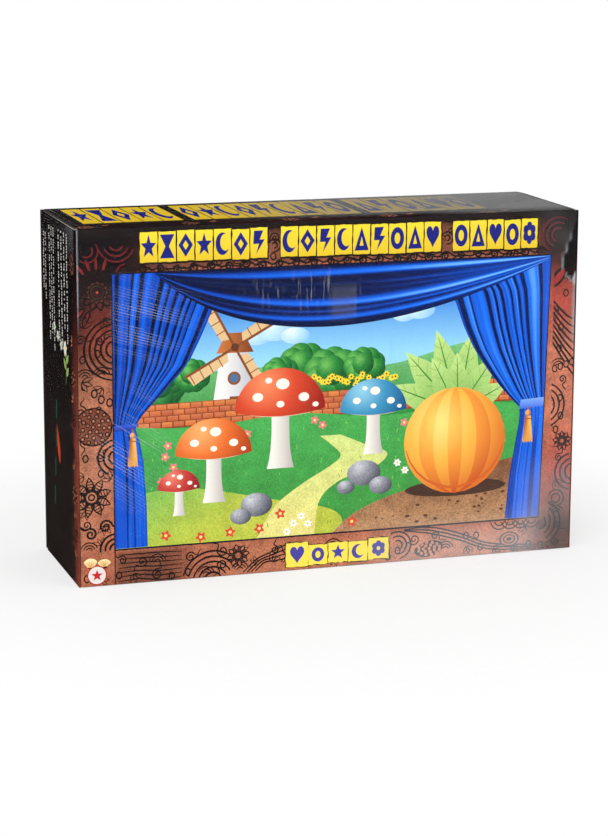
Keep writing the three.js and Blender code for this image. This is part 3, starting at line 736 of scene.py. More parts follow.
def meadow(on):
    land(on, [(U0, 116), (90, 112), (160, 118), (230, 112), (300, 118), (U1, 112)], [(U1, V0), (U0, V0)],
         (74, 168, 82), (64, 146, 66), (0, 118), (0, 50), 0.5)
    land(on, [(U0, 64), (80, 68), (140, 56), (190, 44), (200, V0)], [(U0, V0)],
         (128, 186, 84), (182, 192, 70), (60, 70), (80, 30), 0.5)
    land(on, [(196, 100), (214, 92), (232, 84), (222, 74), (196, 66), (180, 52), (176, V0)],
         through([(132, V0), (146, 50), (168, 66), (186, 76), (196, 84), (190, 92), (180, 100)]),
         (206, 220, 132), (226, 216, 130), (0, 96), (0, 34), 0.4)
    land(on, [(190, V0), (206, 40), (236, 52), (280, 62), (330, 74), (U1, 76)], [(U1, V0)],
         (126, 84, 58), (176, 132, 94), (0, 66), (0, 30), 0.9)
    for i in range(46):
        u, v = dice.uniform(215, 350), dice.uniform(30, 60)
        if v < 26 + (u - 190) * 0.32:
            on.shape(circle(u, v, dice.uniform(0.7, 2.0), 7, 0.6), flat((92, 58, 40), 0.4))
    for i in range(150):
        u, v = dice.uniform(48, 330), dice.uniform(30, 108)
        tone = dice.choice([(44, 128, 58), (106, 186, 88), (150, 206, 96)])
        if v > 30 + (u - 180) * 0.32:
            stroke(on, [(u, v), (u + dice.uniform(-1, 1), v + dice.uniform(1.6, 3.4))], 0.4, flat(tone))


def scene_picture(on):
    on.shape(block(U0 - 1, V0 - 1.2, U1 + 1, V1 + 1), flat((18, 16, 34)))
    on.shape(block(U0, V0, U1, V1), ramp((0, 112, 218), (150, 214, 244), (0, 206), (0, 158), 0.06))
    for cloud in ((132, 176, 12), (146, 180, 15), (161, 175, 11), (244, 186, 9), (256, 189, 12)):
        rounded(on, *cloud, (236, 248, 255), (190, 226, 246), (140, 198, 236), 0.55, 20)
    land(on, [(U0, 138), (70, 158), (120, 150), (170, 162), (230, 150), (300, 164), (U1, 150)], [(U1, 90), (U0, 90)],
         (120, 190, 120), (56, 140, 66), (0, 164), (0, 120), 0.4)
    draw(on, (bush, (62, 142, 17), (84, 150, 14), (168, 152, 20), (190, 146, 22), (214, 150, 16), (150, 148, 14),
              (320, 150, 20), (337, 142, 19)), (windmill, (116, 120, 66)))
    for i in range(36):
        u, v = 158 + 2.3 * i + dice.uniform(-1, 1), 139 + dice.uniform(-3.5, 5)
        daisy(on, u, v, 2.6, (246, 214, 62), (96, 62, 24), 7)
    brick_wall(on)
    meadow(on)
    for u, v in ((64, 92), (70, 84), (66, 100), (125, 105), (176, 112), (182, 108), (61, 74), (245, 106), (340, 96)):
        daisy(on, u, v, 3.6, (236, 120, 130), (250, 226, 120), 5)
    for turn, length, width in ((2.75, 58, 22), (2.3, 62, 24), (1.85, 64, 22), (1.4, 60, 22), (0.95, 50, 20),
                                (0.45, 44, 18), (2.05, 46, 20), (1.6, 44, 18)):
        broad_leaf(on, 287, 112, length, width, turn)
    on.shape(circle(286, 54, 40, 26, 0.16), flat((72, 50, 40), 0.4))
    draw(on, (gourd, (285, 90, 40)),
         (toadstool, (150, 78, 74, (214, 72, 44), (150, 34, 26), (248, 142, 96)),
          (100, 56, 62, (232, 112, 46), (172, 62, 28), (252, 178, 108)),
          (221, 84, 56, (62, 146, 190), (26, 86, 134), (146, 208, 232)),
          (74, 48, 34, (196, 60, 56), (134, 30, 34), (240, 130, 110))))
    for stone in ((132, 52, 12), (120, 44, 8), (214, 70, 13), (227, 60, 9), (200, 60, 7)):
        rounded(on, *stone, (206, 206, 214), (140, 142, 152), (78, 80, 92), 0.74, 22, 0.5)
    for u, v in ((112, 33), (134, 34), (90, 31), (150, 44), (205, 34), (64, 34)):
        daisy(on, u, v, 4.4, *POPPY)
    for u, v in ((160, 36), (166, 41), (171, 35), (155, 30), (240, 76), (246, 70)):
        daisy(on, u, v, 3.2, *OXEYE)


print("country scene", U1 - U0, "x", round(V1 - V0), "mm")

# %% [markdown]
# The painted curtains shade across the cloth. The ink finds how far across it each point lies, and a sum
# of sine waves of that gives broad lit folds with narrow dark valleys, as gathered satin has.

# %% Satin and its folds
SATIN = np.array([np.append(linear(c), 0.03)
                  for c in ((5, 8, 28), (8, 30, 92), (16, 76, 194), (26, 112, 242), (116, 188, 255))])


def satin(h):
    h = np.clip(h, 0, 1) * 4
    low = np.minimum(h.astype(int), 3)
    return mixed(SATIN[low], SATIN[low + 1], h - low)


def folds(u, count, seed, skew):
    """Lit ridges of uneven width with dark gaps between them, 0 to 1."""
    phase = count * u + 0.42 * np.sin(tau * 1.3 * u + seed + skew) + 0.2 * np.sin(tau * 3.7 * u + 2 * seed)
    f = phase % 1
    gap = 0.11 + 0.22 * np.abs(np.sin(2.3 * np.floor(phase) + seed))
    ridge = smooth(f, 0.0, 0.08) * smooth(f, 1.02 - gap, 0.9 - gap)
    tall = 0.84 + 0.16 * np.sin(2.9 * np.floor(phase) + 1.7 * seed)
    return np.clip(ridge * tall * (0.8 + 0.1 * np.sin(tau * 3.1 * phase)) + 0.2 * hump(f, 0.26, 0.1), 0, 1)


print("satin has", len(SATIN), "tones")

# %% [markdown]
# Each side's curtain is one drape above its tie and one below. The swag hangs from corner to corner in six
# ridges that follow its lower edge. Both are cut into narrow strips along the cloth, because the net has
# to be finest across the folds.


# %% Painted curtains
def strips(on, first, last, count, ink):
    """Narrow strips between two lines, side by side, so that the net follows the folds."""
    lines = [first * (1 - t) + last * t for t in np.linspace(0, 1, count + 1)]
    for a, b in zip(lines, lines[1:]):
        on.shape(np.vstack([a, b[::-1]]), ink)


def drape(on, heights, outer, inner, count, seed, columns, deep=0.05, lit=0.66):
    """A hanging part of a curtain, between its outer and inner line, each given at falling heights."""
    def edges(v):
        return (np.interp(v, heights[::-1], line[::-1]) for line in (outer, inner))

    def ink(p):
        lo, hi = edges(p[:, 1])
        u = (p[:, 0] - lo) / (hi - lo)
        t = (heights[0] - p[:, 1]) / (heights[0] - heights[-1])
        h = deep + (lit - deep) * folds(u, count, seed, 0.5 * t) + 0.04 * np.sin(4 * t + 7 * u)
        return satin(h * (0.84 + 0.16 * smooth(u, 0.0, 0.1)) * smooth(u, 1.03, 0.97))

    v = np.linspace(heights[0], heights[-1], 15)
    strips(on, *(np.stack([edge, v], 1) for edge in edges(v)), columns, ink)


def swag(on):
    low = bezier((58, 224.4), (116, 166), (235, 166), (357, 222), 60)
    ridges = ((0.14, 0.075, 0.6), (0.33, 0.03, 0.16), (0.42, 0.03, 0.1),
              (0.61, 0.07, 0.62), (0.74, 0.03, 0.3), (0.88, 0.05, 0.54))

    def ink(p):
        deep = np.interp(p[:, 0], *low.T)
        u = (V1 - p[:, 1]) / np.maximum(V1 - deep, 1)
        t = (p[:, 0] - 58) / 299
        h = 0.07 + 0.22 * smooth(t, 0.4, 0.95)
        for place, wide, tall in ridges:
            off = u - place - 0.02 * np.sin(5 * t + 9 * place)
            h = h + tall * hump(off, 0, np.where(off > 0, 0.5 * wide, 1.15 * wide))
        h = h * (0.7 + 0.38 * smooth(t, 0.04, 0.4) + 0.1 * smooth(t, 0.45, 0.85))
        h = h * smooth(u, 1.02, 0.98) * (0.5 + 0.5 * smooth(u, 0.0, 0.08))
        return satin(h + 0.03 * np.sin(60 * u + 4 * t) * smooth(t, 0.3, 0.9) + 0.02 * np.sin(9 * t + 5 * u))

    strips(on, np.stack([low[:, 0], np.full(60, float(V1))], 1), low, 40, ink)


def tassel(on, u, high, low, width):
    gold, deep = (240, 168, 70), (170, 92, 30)
    stroke(on, [(u, high), (u, high - 5)], 1.1, flat(deep))
    on.shape(circle(u, high - 5, width * 0.26, 14, 1.2),
             ball((255, 206, 120), gold, deep, (u, high - 5), width * 0.3))
    top = high - 5 - width * 0.25
    for i in range(8):
        x0, x1 = ((-0.5 + k / 8) * width for k in (i, i + 1))
        tone = ramp((248, 184, 88), deep, (u + x0, 0), (u + x1 + 0.04 * width, 0))
        foot = low - 0.8 * (i % 2)
        on.shape([(u + x0 * 0.55, top), (u + x1 * 0.55, top), (u + x1, foot), (u + x0, foot)], tone)
    stroke(on, [(u - width * 0.32, top - 2.2), (u + width * 0.32, top - 2.2)], 0.9, flat(deep))


def curtains(on):
    above, below = [115, 104, 90, 60, 27], [112, 104, 90, 60, 27]
    drape(on, [V1, 198, 178, 158, 137, 124, 115], [27] * 7, [116, 100, 91, 81, 61, 48, 42], 10.4, 0.7, 110, lit=0.72)
    drape(on, above, [27] * 5, [42, 45.5, 48, 50, 50.6], 2.6, 1.9, 26, 0.2)
    drape(on, [V1, 199, 174, 156, 139, 124, 112], [358.6, 358.4, 358.2, 357.8, 357.2, 356.6, 356.2],
          [252, 282, 291, 300, 312, 324, 336], 9.6, 2.6, 110, 0.14, 0.86)
    drape(on, below, [356.2, 356, 355.4, 354.4, 353.2], [336, 336.4, 334, 329, 326], 2.7, 0.5, 26, 0.4, 0.8)
    swag(on)
    for corners, ink in (
            (((27, 112.6), (42.6, 113.4), (44.6, 117.6), (27, 116.8)),
             ramp((60, 96, 214), (28, 46, 140), (0, 118), (0, 112))),
            (((335.6, 110.4), (356.6, 111.8), (356.8, 118.6), (337, 117.4)),
             ramp((132, 174, 250), (58, 100, 216), (0, 119), (0, 110))),
            (((359.0, 226), (361.4, 226), (361.4, 25.4), (353.6, 25.4)), ground),
            (((358.4, 226), (359.2, 226), (353.8, 26), (353.0, 26)), flat((14, 14, 40)))):
        on.shape(corners, ink)
    draw(on, (tassel, (40.4, 114, 87, 7.4), (343, 112, 85.5, 8.4)))


print("painted curtains: two drapes at each side, a swag and two tassels")

# %% [markdown]
# The front's sheet reaches half-way round the folds above and below, so that the print and not a bare
# edge is seen there. Narrow rows at both long edges let it bend.


# %% The front's print
def developed(width):
    """Where a panel's print starts and ends across the folds, measured on the flat sheet."""
    room = ROUND * (1 - EIGHTH) + FILM_ROOM
    return room, width - room


def panel_sheet(width, lip, ink, pitch, steps=4):
    """A panel's sheet, with narrow rows at both long edges so that the print can bend round the folds."""
    low, high = developed(width)
    on = Sheet((lip, low), (LENGTH - lip, high), ink, pitch)
    step = ROUND * EIGHTH / steps
    for edge, way in ((low, step), (high, -step)):
        for k in range(steps):
            v0, v1 = sorted((edge + way * k, edge + way * (k + 1)))
            on.shape(block(lip, v0, LENGTH - lip, v1), ink)
    return on


LIP, TOP_LIP, BACK_LIP = 1.6, 3.3, 0.2  # how far a print stops short of the carton's ends
front = panel_sheet(HEIGHT, LIP, ground, 6.0)
border(front)
scene_picture(front)
curtains(front)
title(front, ((47, 141, 7), (150, 272.5, 9), (281, 348, 5)), 231.8, 253.4, -0.0062)
plaque(front)
badge(front)
print("front print:", len(front.shapes), "shapes")

# %% [markdown]
# The top's print carries on the border for a short way over the front fold, then a dark ground with the
# same row of tiles, stretched toward the back.


# %% The top's print
def top_ground(p):
    a, b = p.T
    near = mixed(linear((44, 22, 21)), linear((28, 17, 18)), smooth(a, 150, 320))
    near = mixed(near, linear(NIGHT), 0.8 * smooth(a, 150, 90))
    far = mixed(linear((30, 27, 26)), linear((44, 40, 36)), smooth(a, 150, 380) * smooth(b, 40, 114))
    return np.hstack([mixed(far, near, smooth(b, 25, 15)), np.full((len(p), 1), 0.7)])


top = panel_sheet(DEPTH, TOP_LIP, top_ground, 7.0)
for i in range(15):
    u = 12 + 25 * i + dice.uniform(-3, 3)
    if i % 3 == 0:
        flower(top, u, 9, 7.5, 9, 0.4, 2)
    elif i % 3 == 1:
        curl(top, u, 9, 5.5, 1.2 * i, 1, (9, -2))
        pods(top, u - 7, 13, 7, 2.4)
    else:
        for k in range(3):
            blade = through([(u - 10, 4), (u - 2, 12), (u + 6, 8), (u + 12, 15)])
            stroke(top, blade + (1.2 * k, 2 * k), 1.6, LINE, 0.5)
title(top, ((13, 87, 5), (94, 221, 9), (228, 319, 6)), 27, 104)
print("top print:", len(top.shapes), "shapes")

# %% [markdown]
# Where the real box has small print, there are columns of blank rules, broken into words or into blocks.
# Their lengths come from the dice, and they spell nothing. A sprig and a few flowers stand beside them.


# %% Blank rules and a sprig
FLAP_FAR = 5.15  # where an end flap starts at the back, behind it is the tongue's fold
FLAP_FOLD, FLAP_BEND, FLAP_TURN = 0.85, 0.65, radians(150)  # the bead at its hinge, as far as it is printed
FLAP_LOW, FLAP_HIGH = 0.5, 257.5
RULE = flat((190, 184, 178), 0.2)


def end_ground(p):
    a, b = p.T
    russet = mixed(linear((118, 58, 46)), linear((26, 14, 16)), smooth(b, 90, 226))
    c = mixed(mixed(linear((34, 28, 26)), linear((20, 16, 17)), smooth(b, 60, 215)), russet, smooth(a, 98, 107))
    return np.hstack([c, np.full((len(p), 1), 0.7)])


def rules(on, u, v, length, count, step, ink=RULE, down=True, thick=0.55, letter=0.0):
    """Blank rules of uneven length, broken into words, or into small blocks where a letter size is given."""
    for i in range(count):
        at, end = 0.0, length * dice.uniform(0.72, 1.0)
        while at < end:
            word = dice.uniform(2.0, 7.5)
            piece = letter or word
            for start in np.arange(at, at + word - piece * 0.5, piece * 1.45):
                lo, hi = (thick * k for k in (dice.choice(((0, 1), (0, 0.7), (0.3, 1))) if letter else (0, 1)))
                x, y = (u + step * i, v - start) if down else (u + start, v - step * i)
                on.shape(block(x + lo, y, x + hi, y - piece) if down else block(x, y + lo, x + piece, y + hi), ink)
            at += word + 1.6


def sprig(on, u, v, size):
    stem = [(u, v), (u + 0.1 * size, v + 0.45 * size), (u - 0.05 * size, v + size)]
    stroke(on, through(stem), 0.7, flat((120, 150, 80)))
    for k, way in ((0.25, 1), (0.42, -1), (0.6, 1), (0.76, -1)):
        leaf_shape = petal(u + 0.06 * size, v + k * size, 0.42 * size, 0.2 * size, pi / 2 - way * 0.85)
        on.shape(leaf_shape, flat((150, 180, 96)))
    daisy(on, *stem[2], 0.24 * size, (238, 232, 214), (240, 200, 60), 6)


print("an end flap's print is", FLAP_HIGH - FLAP_LOW, "mm high")

# %% [markdown]
# The end flaps carry the border round the front fold and are nearly black behind it. The left end is seen
# in the photograph, and the right one is a guess in the same manner.


# %% The ends' print
def left_columns(on):
    pale = flat((236, 232, 228), 0.1)
    for u, v, length, count, step, thick, letter in ((9, 243, 56, 2, 6.6, 2.2, 1.3), (29, 250, 92, 3, 7.0, 2.2, 1.2),
                                                     (60, 251, 84, 4, 9.0, 2.6, 1.3)):
        rules(on, u, v, length, count, step, pale, True, thick, letter)
    sprig(on, 80, 142, 26)
    for k in range(3):
        daisy(on, 66 - 11 * k, 168 + 5 * k, 4.6, (224, 226, 214), (120, 170, 96), 5)
    for k in range(4):
        on.shape(block(36 + 3 * k, 44 + 22 * k, 38 + 3 * k, 58 + 22 * k), flat((32, 96, 70), 0.3))
    on.shape(petal(56, 78, 30, 8, 1.9), flat((196, 66, 40), 0.3))


def right_column(on):
    card = flat((228, 220, 200))
    signs = ((STAR, (196, 60, 56)), (HEART, (62, 146, 190)), (BLOSSOM, (232, 170, 60)), (RING, (92, 150, 78)))
    for k, (kind, tone) in enumerate(signs):
        on.shape(torn(24, 52 + 44 * k, 62, 84 + 44 * k, 0.4), card)
        symbol(on, kind, 43, 68 + 44 * k, 24, 22, flat(tone), card)
    rules(on, 70, 244, 60, 8, 2.4)


def end_sheet(columns):
    """Drawn with the front fold at the right, as the left end shows it; the other end is its mirror."""
    fold = DEPTH - FLAP_FOLD
    on = Sheet((FLAP_FAR, FLAP_LOW), (fold + FLAP_BEND * FLAP_TURN, FLAP_HIGH), end_ground, 9.0)
    step = FLAP_BEND * FLAP_TURN / 6
    for k in range(6):
        on.shape(block(fold + step * k, FLAP_LOW, fold + step * (k + 1), FLAP_HIGH), end_ground)
    draw(on, (flower, (104, 232, 9, 10, 0.42, 2), (105, 150, 8, 9, 0.42, 2), (104, 66, 9, 9, 0.42, 2)),
         (curl, *((u, v, r, s, way, (-4, 9)) for u, v, r, s, way in (
             (106, 205, 5, 0.4, 1), (101, 190, 4, 2.2, -1), (106, 120, 5, 1.4, 1),
             (103, 96, 4.5, 3.0, -1), (106, 36, 5, 0.8, 1)))),
         (pods, *((104, v, 8, 1.2 + 0.01 * v) for v in (176, 134, 84, 48, 20))))
    columns(on)
    return on


left_print, right_print = end_sheet(left_columns), end_sheet(right_column)
print("end prints:", len(left_print.shapes), "and", len(right_print.shapes), "shapes")

# %% [markdown]
# The back repeats the picture small beside panels of blank rules, as the backs of such cartons do. The
# bottom has one such panel and a row of flowers. Neither is seen in the photograph.


# %% The back's and bottom's print
PAPER, SMALL_TYPE = flat((206, 196, 170), 0.3), flat((90, 70, 56))


def dark_ground(p):
    return layered(p, linear((38, 32, 30)), (((52, 36, 32), smooth(p[:, 1], 0, 240)),), 0.7)


back = panel_sheet(HEIGHT, BACK_LIP, dark_ground, 12.0)
back.shape(torn(18, 84, 228, 216, 0.5, 14), PAPER)
small = Reduced(back, 0.585, 8.6, 73.5)
scene_picture(small)
curtains(small)
for i, (kind, tone) in enumerate(((STAR, (196, 60, 56)), (HEART, (62, 146, 190)), (BLOSSOM, (226, 150, 50)))):
    u, v = 246, 180 - 46 * i
    back.shape(torn(u, v, u + 112, v + 38, 0.5, 10), PAPER)
    symbol(back, kind, u + 18, v + 19, 24, 26, flat(tone), PAPER)
    rules(back, u + 38, v + 30, 66, 5, 5.4, SMALL_TYPE, False, 0.9)
title(back, ((60, 154, 7), (163, 285.5, 9)), 226, 247)
rules(back, 22, 68, 190, 7, 6.4, flat((170, 160, 148)), False, 0.9)
for i in range(0, 6, 2):
    beads(back, 232 + 24 * i, 34, 10, ((0.0, 1), (0.42, 6), (0.78, 11)))
    flower(back, 256 + 24 * i, 34, 10, 9, 0.42, 2)
bottom = panel_sheet(DEPTH, TOP_LIP, dark_ground, 16.0)
bottom.shape(torn(24, 26, 150, 88, 0.4, 12), PAPER)
rules(bottom, 30, 80, 112, 9, 6.0, SMALL_TYPE, False, 0.9)
for i in range(5):
    flower(bottom, 186 + 36 * i, 57, 13, 9 + i % 2, 0.42, 3)
print("back and bottom print:", len(back.shapes), "and", len(bottom.shapes), "shapes")

# %% [markdown]
# A panel is one piece of board with its print on the outside. On the real carton the sheet is printed
# flat, glued to thin corrugated board, creased and folded. Here each panel's flat print is bent over its
# half of the fold, and walls and an inner face close it to a solid board. The film lies on the same bends,
# so one function gives the place of a point for both, at the depth that is asked for.


# %% Where the prints lie on the carton
X0, Y0 = -LENGTH / 2, -DEPTH / 2
SLACK = 0.08  # the inner face ends this far inside the folds


def panel(upright, way):
    """Gives the place of a sheet's point on the front, back, top or bottom panel, at a depth below its face."""
    width = HEIGHT if upright else DEPTH

    def spot(p, room=FILM_ROOM, under=False):
        b, bend = p[:, 1], BOARD - room
        if under:
            lo, hi = developed(width)
            across, deep = BOARD + SLACK + (b - lo) / (hi - lo) * (width - 2 * BOARD - 2 * SLACK), BOARD + 0 * b
        else:
            low, high = np.clip((BOARD - b) / bend, 0, None), np.clip((b - (width - BOARD)) / bend, 0, None)
            across = np.clip(b, BOARD, width - BOARD) + bend * (np.sin(high) - np.sin(low))
            deep = room + bend * (1 - np.cos(low + high))
        x = way * (X0 + p[:, 0])
        if upright:
            return np.stack([x, way * (Y0 + deep), across], 1)
        return np.stack([x, Y0 + across, HEIGHT - deep if way > 0 else deep], 1)

    return spot


def end_flap(side, fold, bend):
    """The same for an end flap, which is flat and then turns round the bead at its hinge."""
    def spot(p, room=FILM_ROOM, under=False):
        a, bead, start = p[:, 0], fold - room, DEPTH - fold
        turn = np.clip((a - start) / bend, 0, None)
        x, y = X0 + room + bead * (1 - np.cos(turn)), -Y0 - np.minimum(a, start) - bead * np.sin(turn)
        if under:
            reach = start + bend * FLAP_TURN - FLAP_FAR
            x, y = X0 + BOARD + 0 * a, -Y0 - FLAP_FAR - (a - FLAP_FAR) / reach * (start - FLAP_FAR)
        return np.stack([side * x, y, p[:, 1]], 1)

    return spot


foot = panel(True, 1)(np.array([[0.0, HEIGHT / 2]]))[0]
print("half-way up its left edge the front's print is at", foot.round(2), "mm")

# %% [markdown]
# A closed body is made from an open sheet in two ways. A board's net is free, so its rim is followed from
# vertex to vertex and joined to one flat inner face. The film, the tapes and the felt leaves are even
# grids, and get the same grid again behind them and walls between the two.


# %% Closed bodies
def rim_of(tris):
    """The vertices round the outside of a net of triangles, in order."""
    edges = {(int(t[i]), int(t[i - 2])) for t in tris for i in range(3)}
    step = {a: b for a, b in edges if (b, a) not in edges}
    start = next(iter(step))
    loop, at = [start], step[start]
    while at != start:
        loop.append(at)
        at = step[at]
    return loop


def linked(name, data):
    obj = bpy.data.objects.new(name, data)
    bpy.context.scene.collection.objects.link(obj)
    return obj


def new_object(name, points, faces, body, *mats):
    mesh = bpy.data.meshes.new(name)
    mesh.from_pydata((np.array(points) * MM).tolist(), [], faces)
    obj = linked(name, mesh)
    for m in mats:
        mesh.materials.append(m)
    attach(obj, body)
    return obj


def board(name, sheet, spot, body, slot, replaced, *mats):
    place, tris, colour = sheet.cut()
    loop = rim_of(tris)
    out, under = spot(place), spot(place[loop], under=True)
    a, b, c = (out[tris[:, k]] for k in range(3))
    n, k = len(out), len(loop)
    walls = [[loop[i], n + i, n + (i + 1) % k, loop[(i + 1) % k]] for i in range(k)]
    faces = tris.tolist() + walls + [list(range(n + k - 1, n - 1, -1))]
    if np.cross(b - a, c - a).sum(0) @ (out[loop].mean(0) - under.mean(0)) < 0:
        faces, colour = [f[::-1] for f in faces], colour[:, ::-1]
    obj = new_object(name, np.vstack([out, under]), faces, body, *mats)
    ink = obj.data.color_attributes.new("Print", "FLOAT_COLOR", "CORNER")
    plain = np.tile(np.append(linear((196, 188, 172)), 1.0), (5 * k, 1))
    ink.data.foreach_set("color", np.vstack([colour.reshape(-1, 4), plain]).ravel())
    obj.data.polygons.foreach_set("material_index", [0] * len(tris) + [2] * k + [1])
    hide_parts(replaced)
    print(name, len(faces), "faces")


def closed_sheet(out, under, rows, cols):
    """A thin solid: a grid of points, the same grid behind it, and walls all round between them."""
    grid = np.arange(rows * cols).reshape(rows, cols)
    outer = np.stack([grid[:-1, :-1], grid[1:, :-1], grid[1:, 1:], grid[:-1, 1:]], 2).reshape(-1, 4)
    rim = np.concatenate([grid[:-1, 0], grid[-1, :-1], grid[:0:-1, -1], grid[0, :0:-1]])
    ahead = np.roll(rim, -1)
    walls = np.stack([rim, grid.size + rim, grid.size + ahead, ahead], 1)
    faces = np.vstack([outer, grid.size + outer[:, ::-1], walls])
    first, second, third = (out[k] for k in outer[len(outer) // 2][:3])
    if np.cross(second - first, third - first) @ (first - under[outer[len(outer) // 2][0]]) < 0:
        faces = faces[:, ::-1]
    return np.vstack([out, under]), faces.tolist()


def smoothed(obj):
    obj.data.polygons.foreach_set("use_smooth", [True] * len(obj.data.polygons))
    return obj


print("a panel's board is", BOARD, "mm thick and its print lies", FILM_ROOM, "mm in")

# %% [markdown]
# The materials are made of shader nodes. Most of what they compute is sums and products of a few noises,
# so a small class lets sums of wires be written as sums.


# %% Wires
class Wire:
    """What flows out of a socket. Sums, products and comparisons of wires become math nodes."""

    def __init__(self, tree, socket):
        self.tree, self.socket = tree, socket

    def __add__(self, other):
        return self.tree.math("ADD", self, other)

    def __radd__(self, other):
        return self.tree.math("ADD", other, self)

    def __sub__(self, other):
        return self.tree.math("SUBTRACT", self, other)

    def __rsub__(self, other):
        return self.tree.math("SUBTRACT", other, self)

    def __mul__(self, other):
        return self.tree.math("MULTIPLY", self, other)

    def __truediv__(self, other):
        return self.tree.math("DIVIDE", self, other)

    def __gt__(self, other):
        return self.tree.math("GREATER_THAN", self, other)

    def __lt__(self, other):
        return self.tree.math("LESS_THAN", self, other)

    def __abs__(self):
        return self.tree.math("ABSOLUTE", self)


print("wires can be added, taken away, multiplied, divided and compared")

# %% [markdown]
# A tree has short words for the nodes that nearly every material here uses: noise, waves, spans, mixes and
# bumps. Noise and waves follow the object's own coordinates in metres, so a pattern has the same size on
# every piece.


# %% Words for the node trees
def paint(rgb):
    return (*linear(rgb), 1)


class Tree:
    """A node tree with plain words for the nodes that many materials use."""

    def __init__(self, nodes, material=None):
        self.nodes, self.material, self.coords = nodes, material, None

    def node(self, kind, wires=None, **values):
        n = self.nodes.nodes.new(kind)
        for key, value in values.items():
            setattr(n, key, value)
        for socket, value in (wires or {}).items():
            if isinstance(value, Wire):
                self.nodes.links.new(value.socket, n.inputs[socket])
            else:
                n.inputs[socket].default_value = value
        return n

    def get(self, kind, wires=None, socket=0, **values):
        return Wire(self, self.node(kind, wires, **values).outputs[socket])

    def math(self, op, a, b=0.0, clamp=False):
        return self.get("ShaderNodeMath", {0: a, 1: b}, operation=op, use_clamp=clamp)

    def at(self, which="Object"):
        self.coords = self.coords or self.node("ShaderNodeTexCoord")
        return Wire(self, self.coords.outputs[which])

    def split(self, vector):
        n = self.node("ShaderNodeSeparateXYZ", {0: vector})
        return [Wire(self, socket) for socket in n.outputs]

    def dot(self, vector, direction):
        return self.get("ShaderNodeVectorMath", {0: vector, 1: direction}, "Value", operation="DOT_PRODUCT")

    def noise(self, scale, detail=2.0, roughness=0.5, at=None):
        wires = {"Vector": at or self.at(), "Scale": scale, "Detail": detail, "Roughness": roughness}
        return self.get("ShaderNodeTexNoise", wires)

    def wave(self, scale, distortion, way, detail=2.0, detail_scale=1.0, at=None):
        wires = {"Vector": at or self.at(), "Scale": scale, "Distortion": distortion,
                 "Detail": detail, "Detail Scale": detail_scale}
        return self.get("ShaderNodeTexWave", wires, 1, bands_direction=way)

    def span(self, value, low, high, to_low=0.0, to_high=1.0, **values):
        wires = {"Value": value, "From Min": low, "From Max": high, "To Min": to_low, "To Max": to_high}
        return self.get("ShaderNodeMapRange", wires, **values)

    def mix(self, factor, a, b):
        return self.get("ShaderNodeMix", {0: factor, 6: a, 7: b}, 2, data_type="RGBA")

    def blend(self, factor, a, b):
        return self.get("ShaderNodeMix", {0: factor, 2: a, 3: b}, data_type="FLOAT")

    def two_tone(self, factor, dark, light, low=0.32, high=0.68):
        n = self.node("ShaderNodeValToRGB", {0: factor})
        for stop, place, rgb in zip(n.color_ramp.elements, (low, high), (dark, light)):
            stop.position, stop.color = place, paint(rgb)
        return Wire(self, n.outputs[0])

    def bump(self, height, strength, distance):
        return self.get("ShaderNodeBump", {"Height": height, "Strength": strength, "Distance": distance})

    def finish(self, **wires):
        """Ends with the Principled shader; an underscore stands for the space in a socket's name."""
        skin = self.get("ShaderNodeBsdfPrincipled", {key.replace("_", " "): value for key, value in wires.items()})
        self.node("ShaderNodeOutputMaterial", {0: skin})
        return self.material


def material(name):
    m = bpy.data.materials.new(name)
    m.use_nodes = True
    m.node_tree.nodes.clear()
    return Tree(m.node_tree, m)


def group(name, given, made):
    """The tree of a new node group, and the wires that come into it by their names."""
    g = bpy.data.node_groups.new(name, "ShaderNodeTree")
    for label, kind in given.items():
        g.interface.new_socket(label, in_out="INPUT", socket_type="NodeSocket" + kind)
    for label, kind in made.items():
        g.interface.new_socket(label, in_out="OUTPUT", socket_type="NodeSocket" + kind)
    tree = Tree(g)
    source = tree.node("NodeGroupInput")
    return tree, {label: Wire(tree, source.outputs[label]) for label in given}


print("node trees are ready")


# %% [markdown]
# Two effects are shared by the printed panels, so they are node groups. On a real carton the ink rubs off
# first along the folds, in broken white specks. And offset print on coated board is never quite even: it
# shows speckle and fine dots.


# %% Shared effects
def fold_wear():
    """Distance from the carton's nearest edge, from the middle one of three distances, broken by noise."""
    t, given = group("Fold wear", {"Reach": "Float"}, {"Mask": "Float"})
    x, y, z = t.split(t.at())
    sides = ((LENGTH, x), (DEPTH, y), (HEIGHT, z - HEIGHT / 2 * MM))
    far = [size / 2 * MM - abs(along) for size, along in sides]
    low, high = t.math("MINIMUM", far[0], far[1]), t.math("MAXIMUM", far[0], far[1])
    middle = t.math("MAXIMUM", low, t.math("MINIMUM", high, far[2]))
    near = t.math("SUBTRACT", 1.0, middle / given["Reach"], True)
    worn = near * 0.75 + t.noise(260.0, 4.0, 0.7) * 0.55 + t.noise(24.0) * 0.6
    t.node("NodeGroupOutput", {"Mask": t.math("MULTIPLY", t.span(worn, 1.12, 1.26), near, True)})
    return t.nodes


def print_grain():
    """Speckle of the mottled grounds, and the faint dots of offset print everywhere."""
    t, given = group("Print grain", {"Color": "Color", "Grain": "Float"}, {"Color": "Color", "Roughness": "Float"})
    wide = t.noise(70.0, 5.0, 0.65)
    level = t.span(t.noise(760.0, 4.0, 0.7) * 0.62 + wide * 0.38, 0.36, 0.66, -0.6, 0.75)
    dots = t.get("ShaderNodeTexVoronoi", {"Vector": t.at(), "Scale": 900.0}, "Distance")
    shade = 1.0 + level * given["Grain"] + (dots - 0.5) * 0.05
    inked = t.get("ShaderNodeVectorMath", {0: given["Color"], "Scale": shade}, operation="SCALE")
    t.node("NodeGroupOutput", {"Color": inked, "Roughness": 0.36 + wide * 0.12})
    return t.nodes


WEAR, GRAIN = fold_wear(), print_grain()
print("shared:", WEAR.name, "and", GRAIN.name)
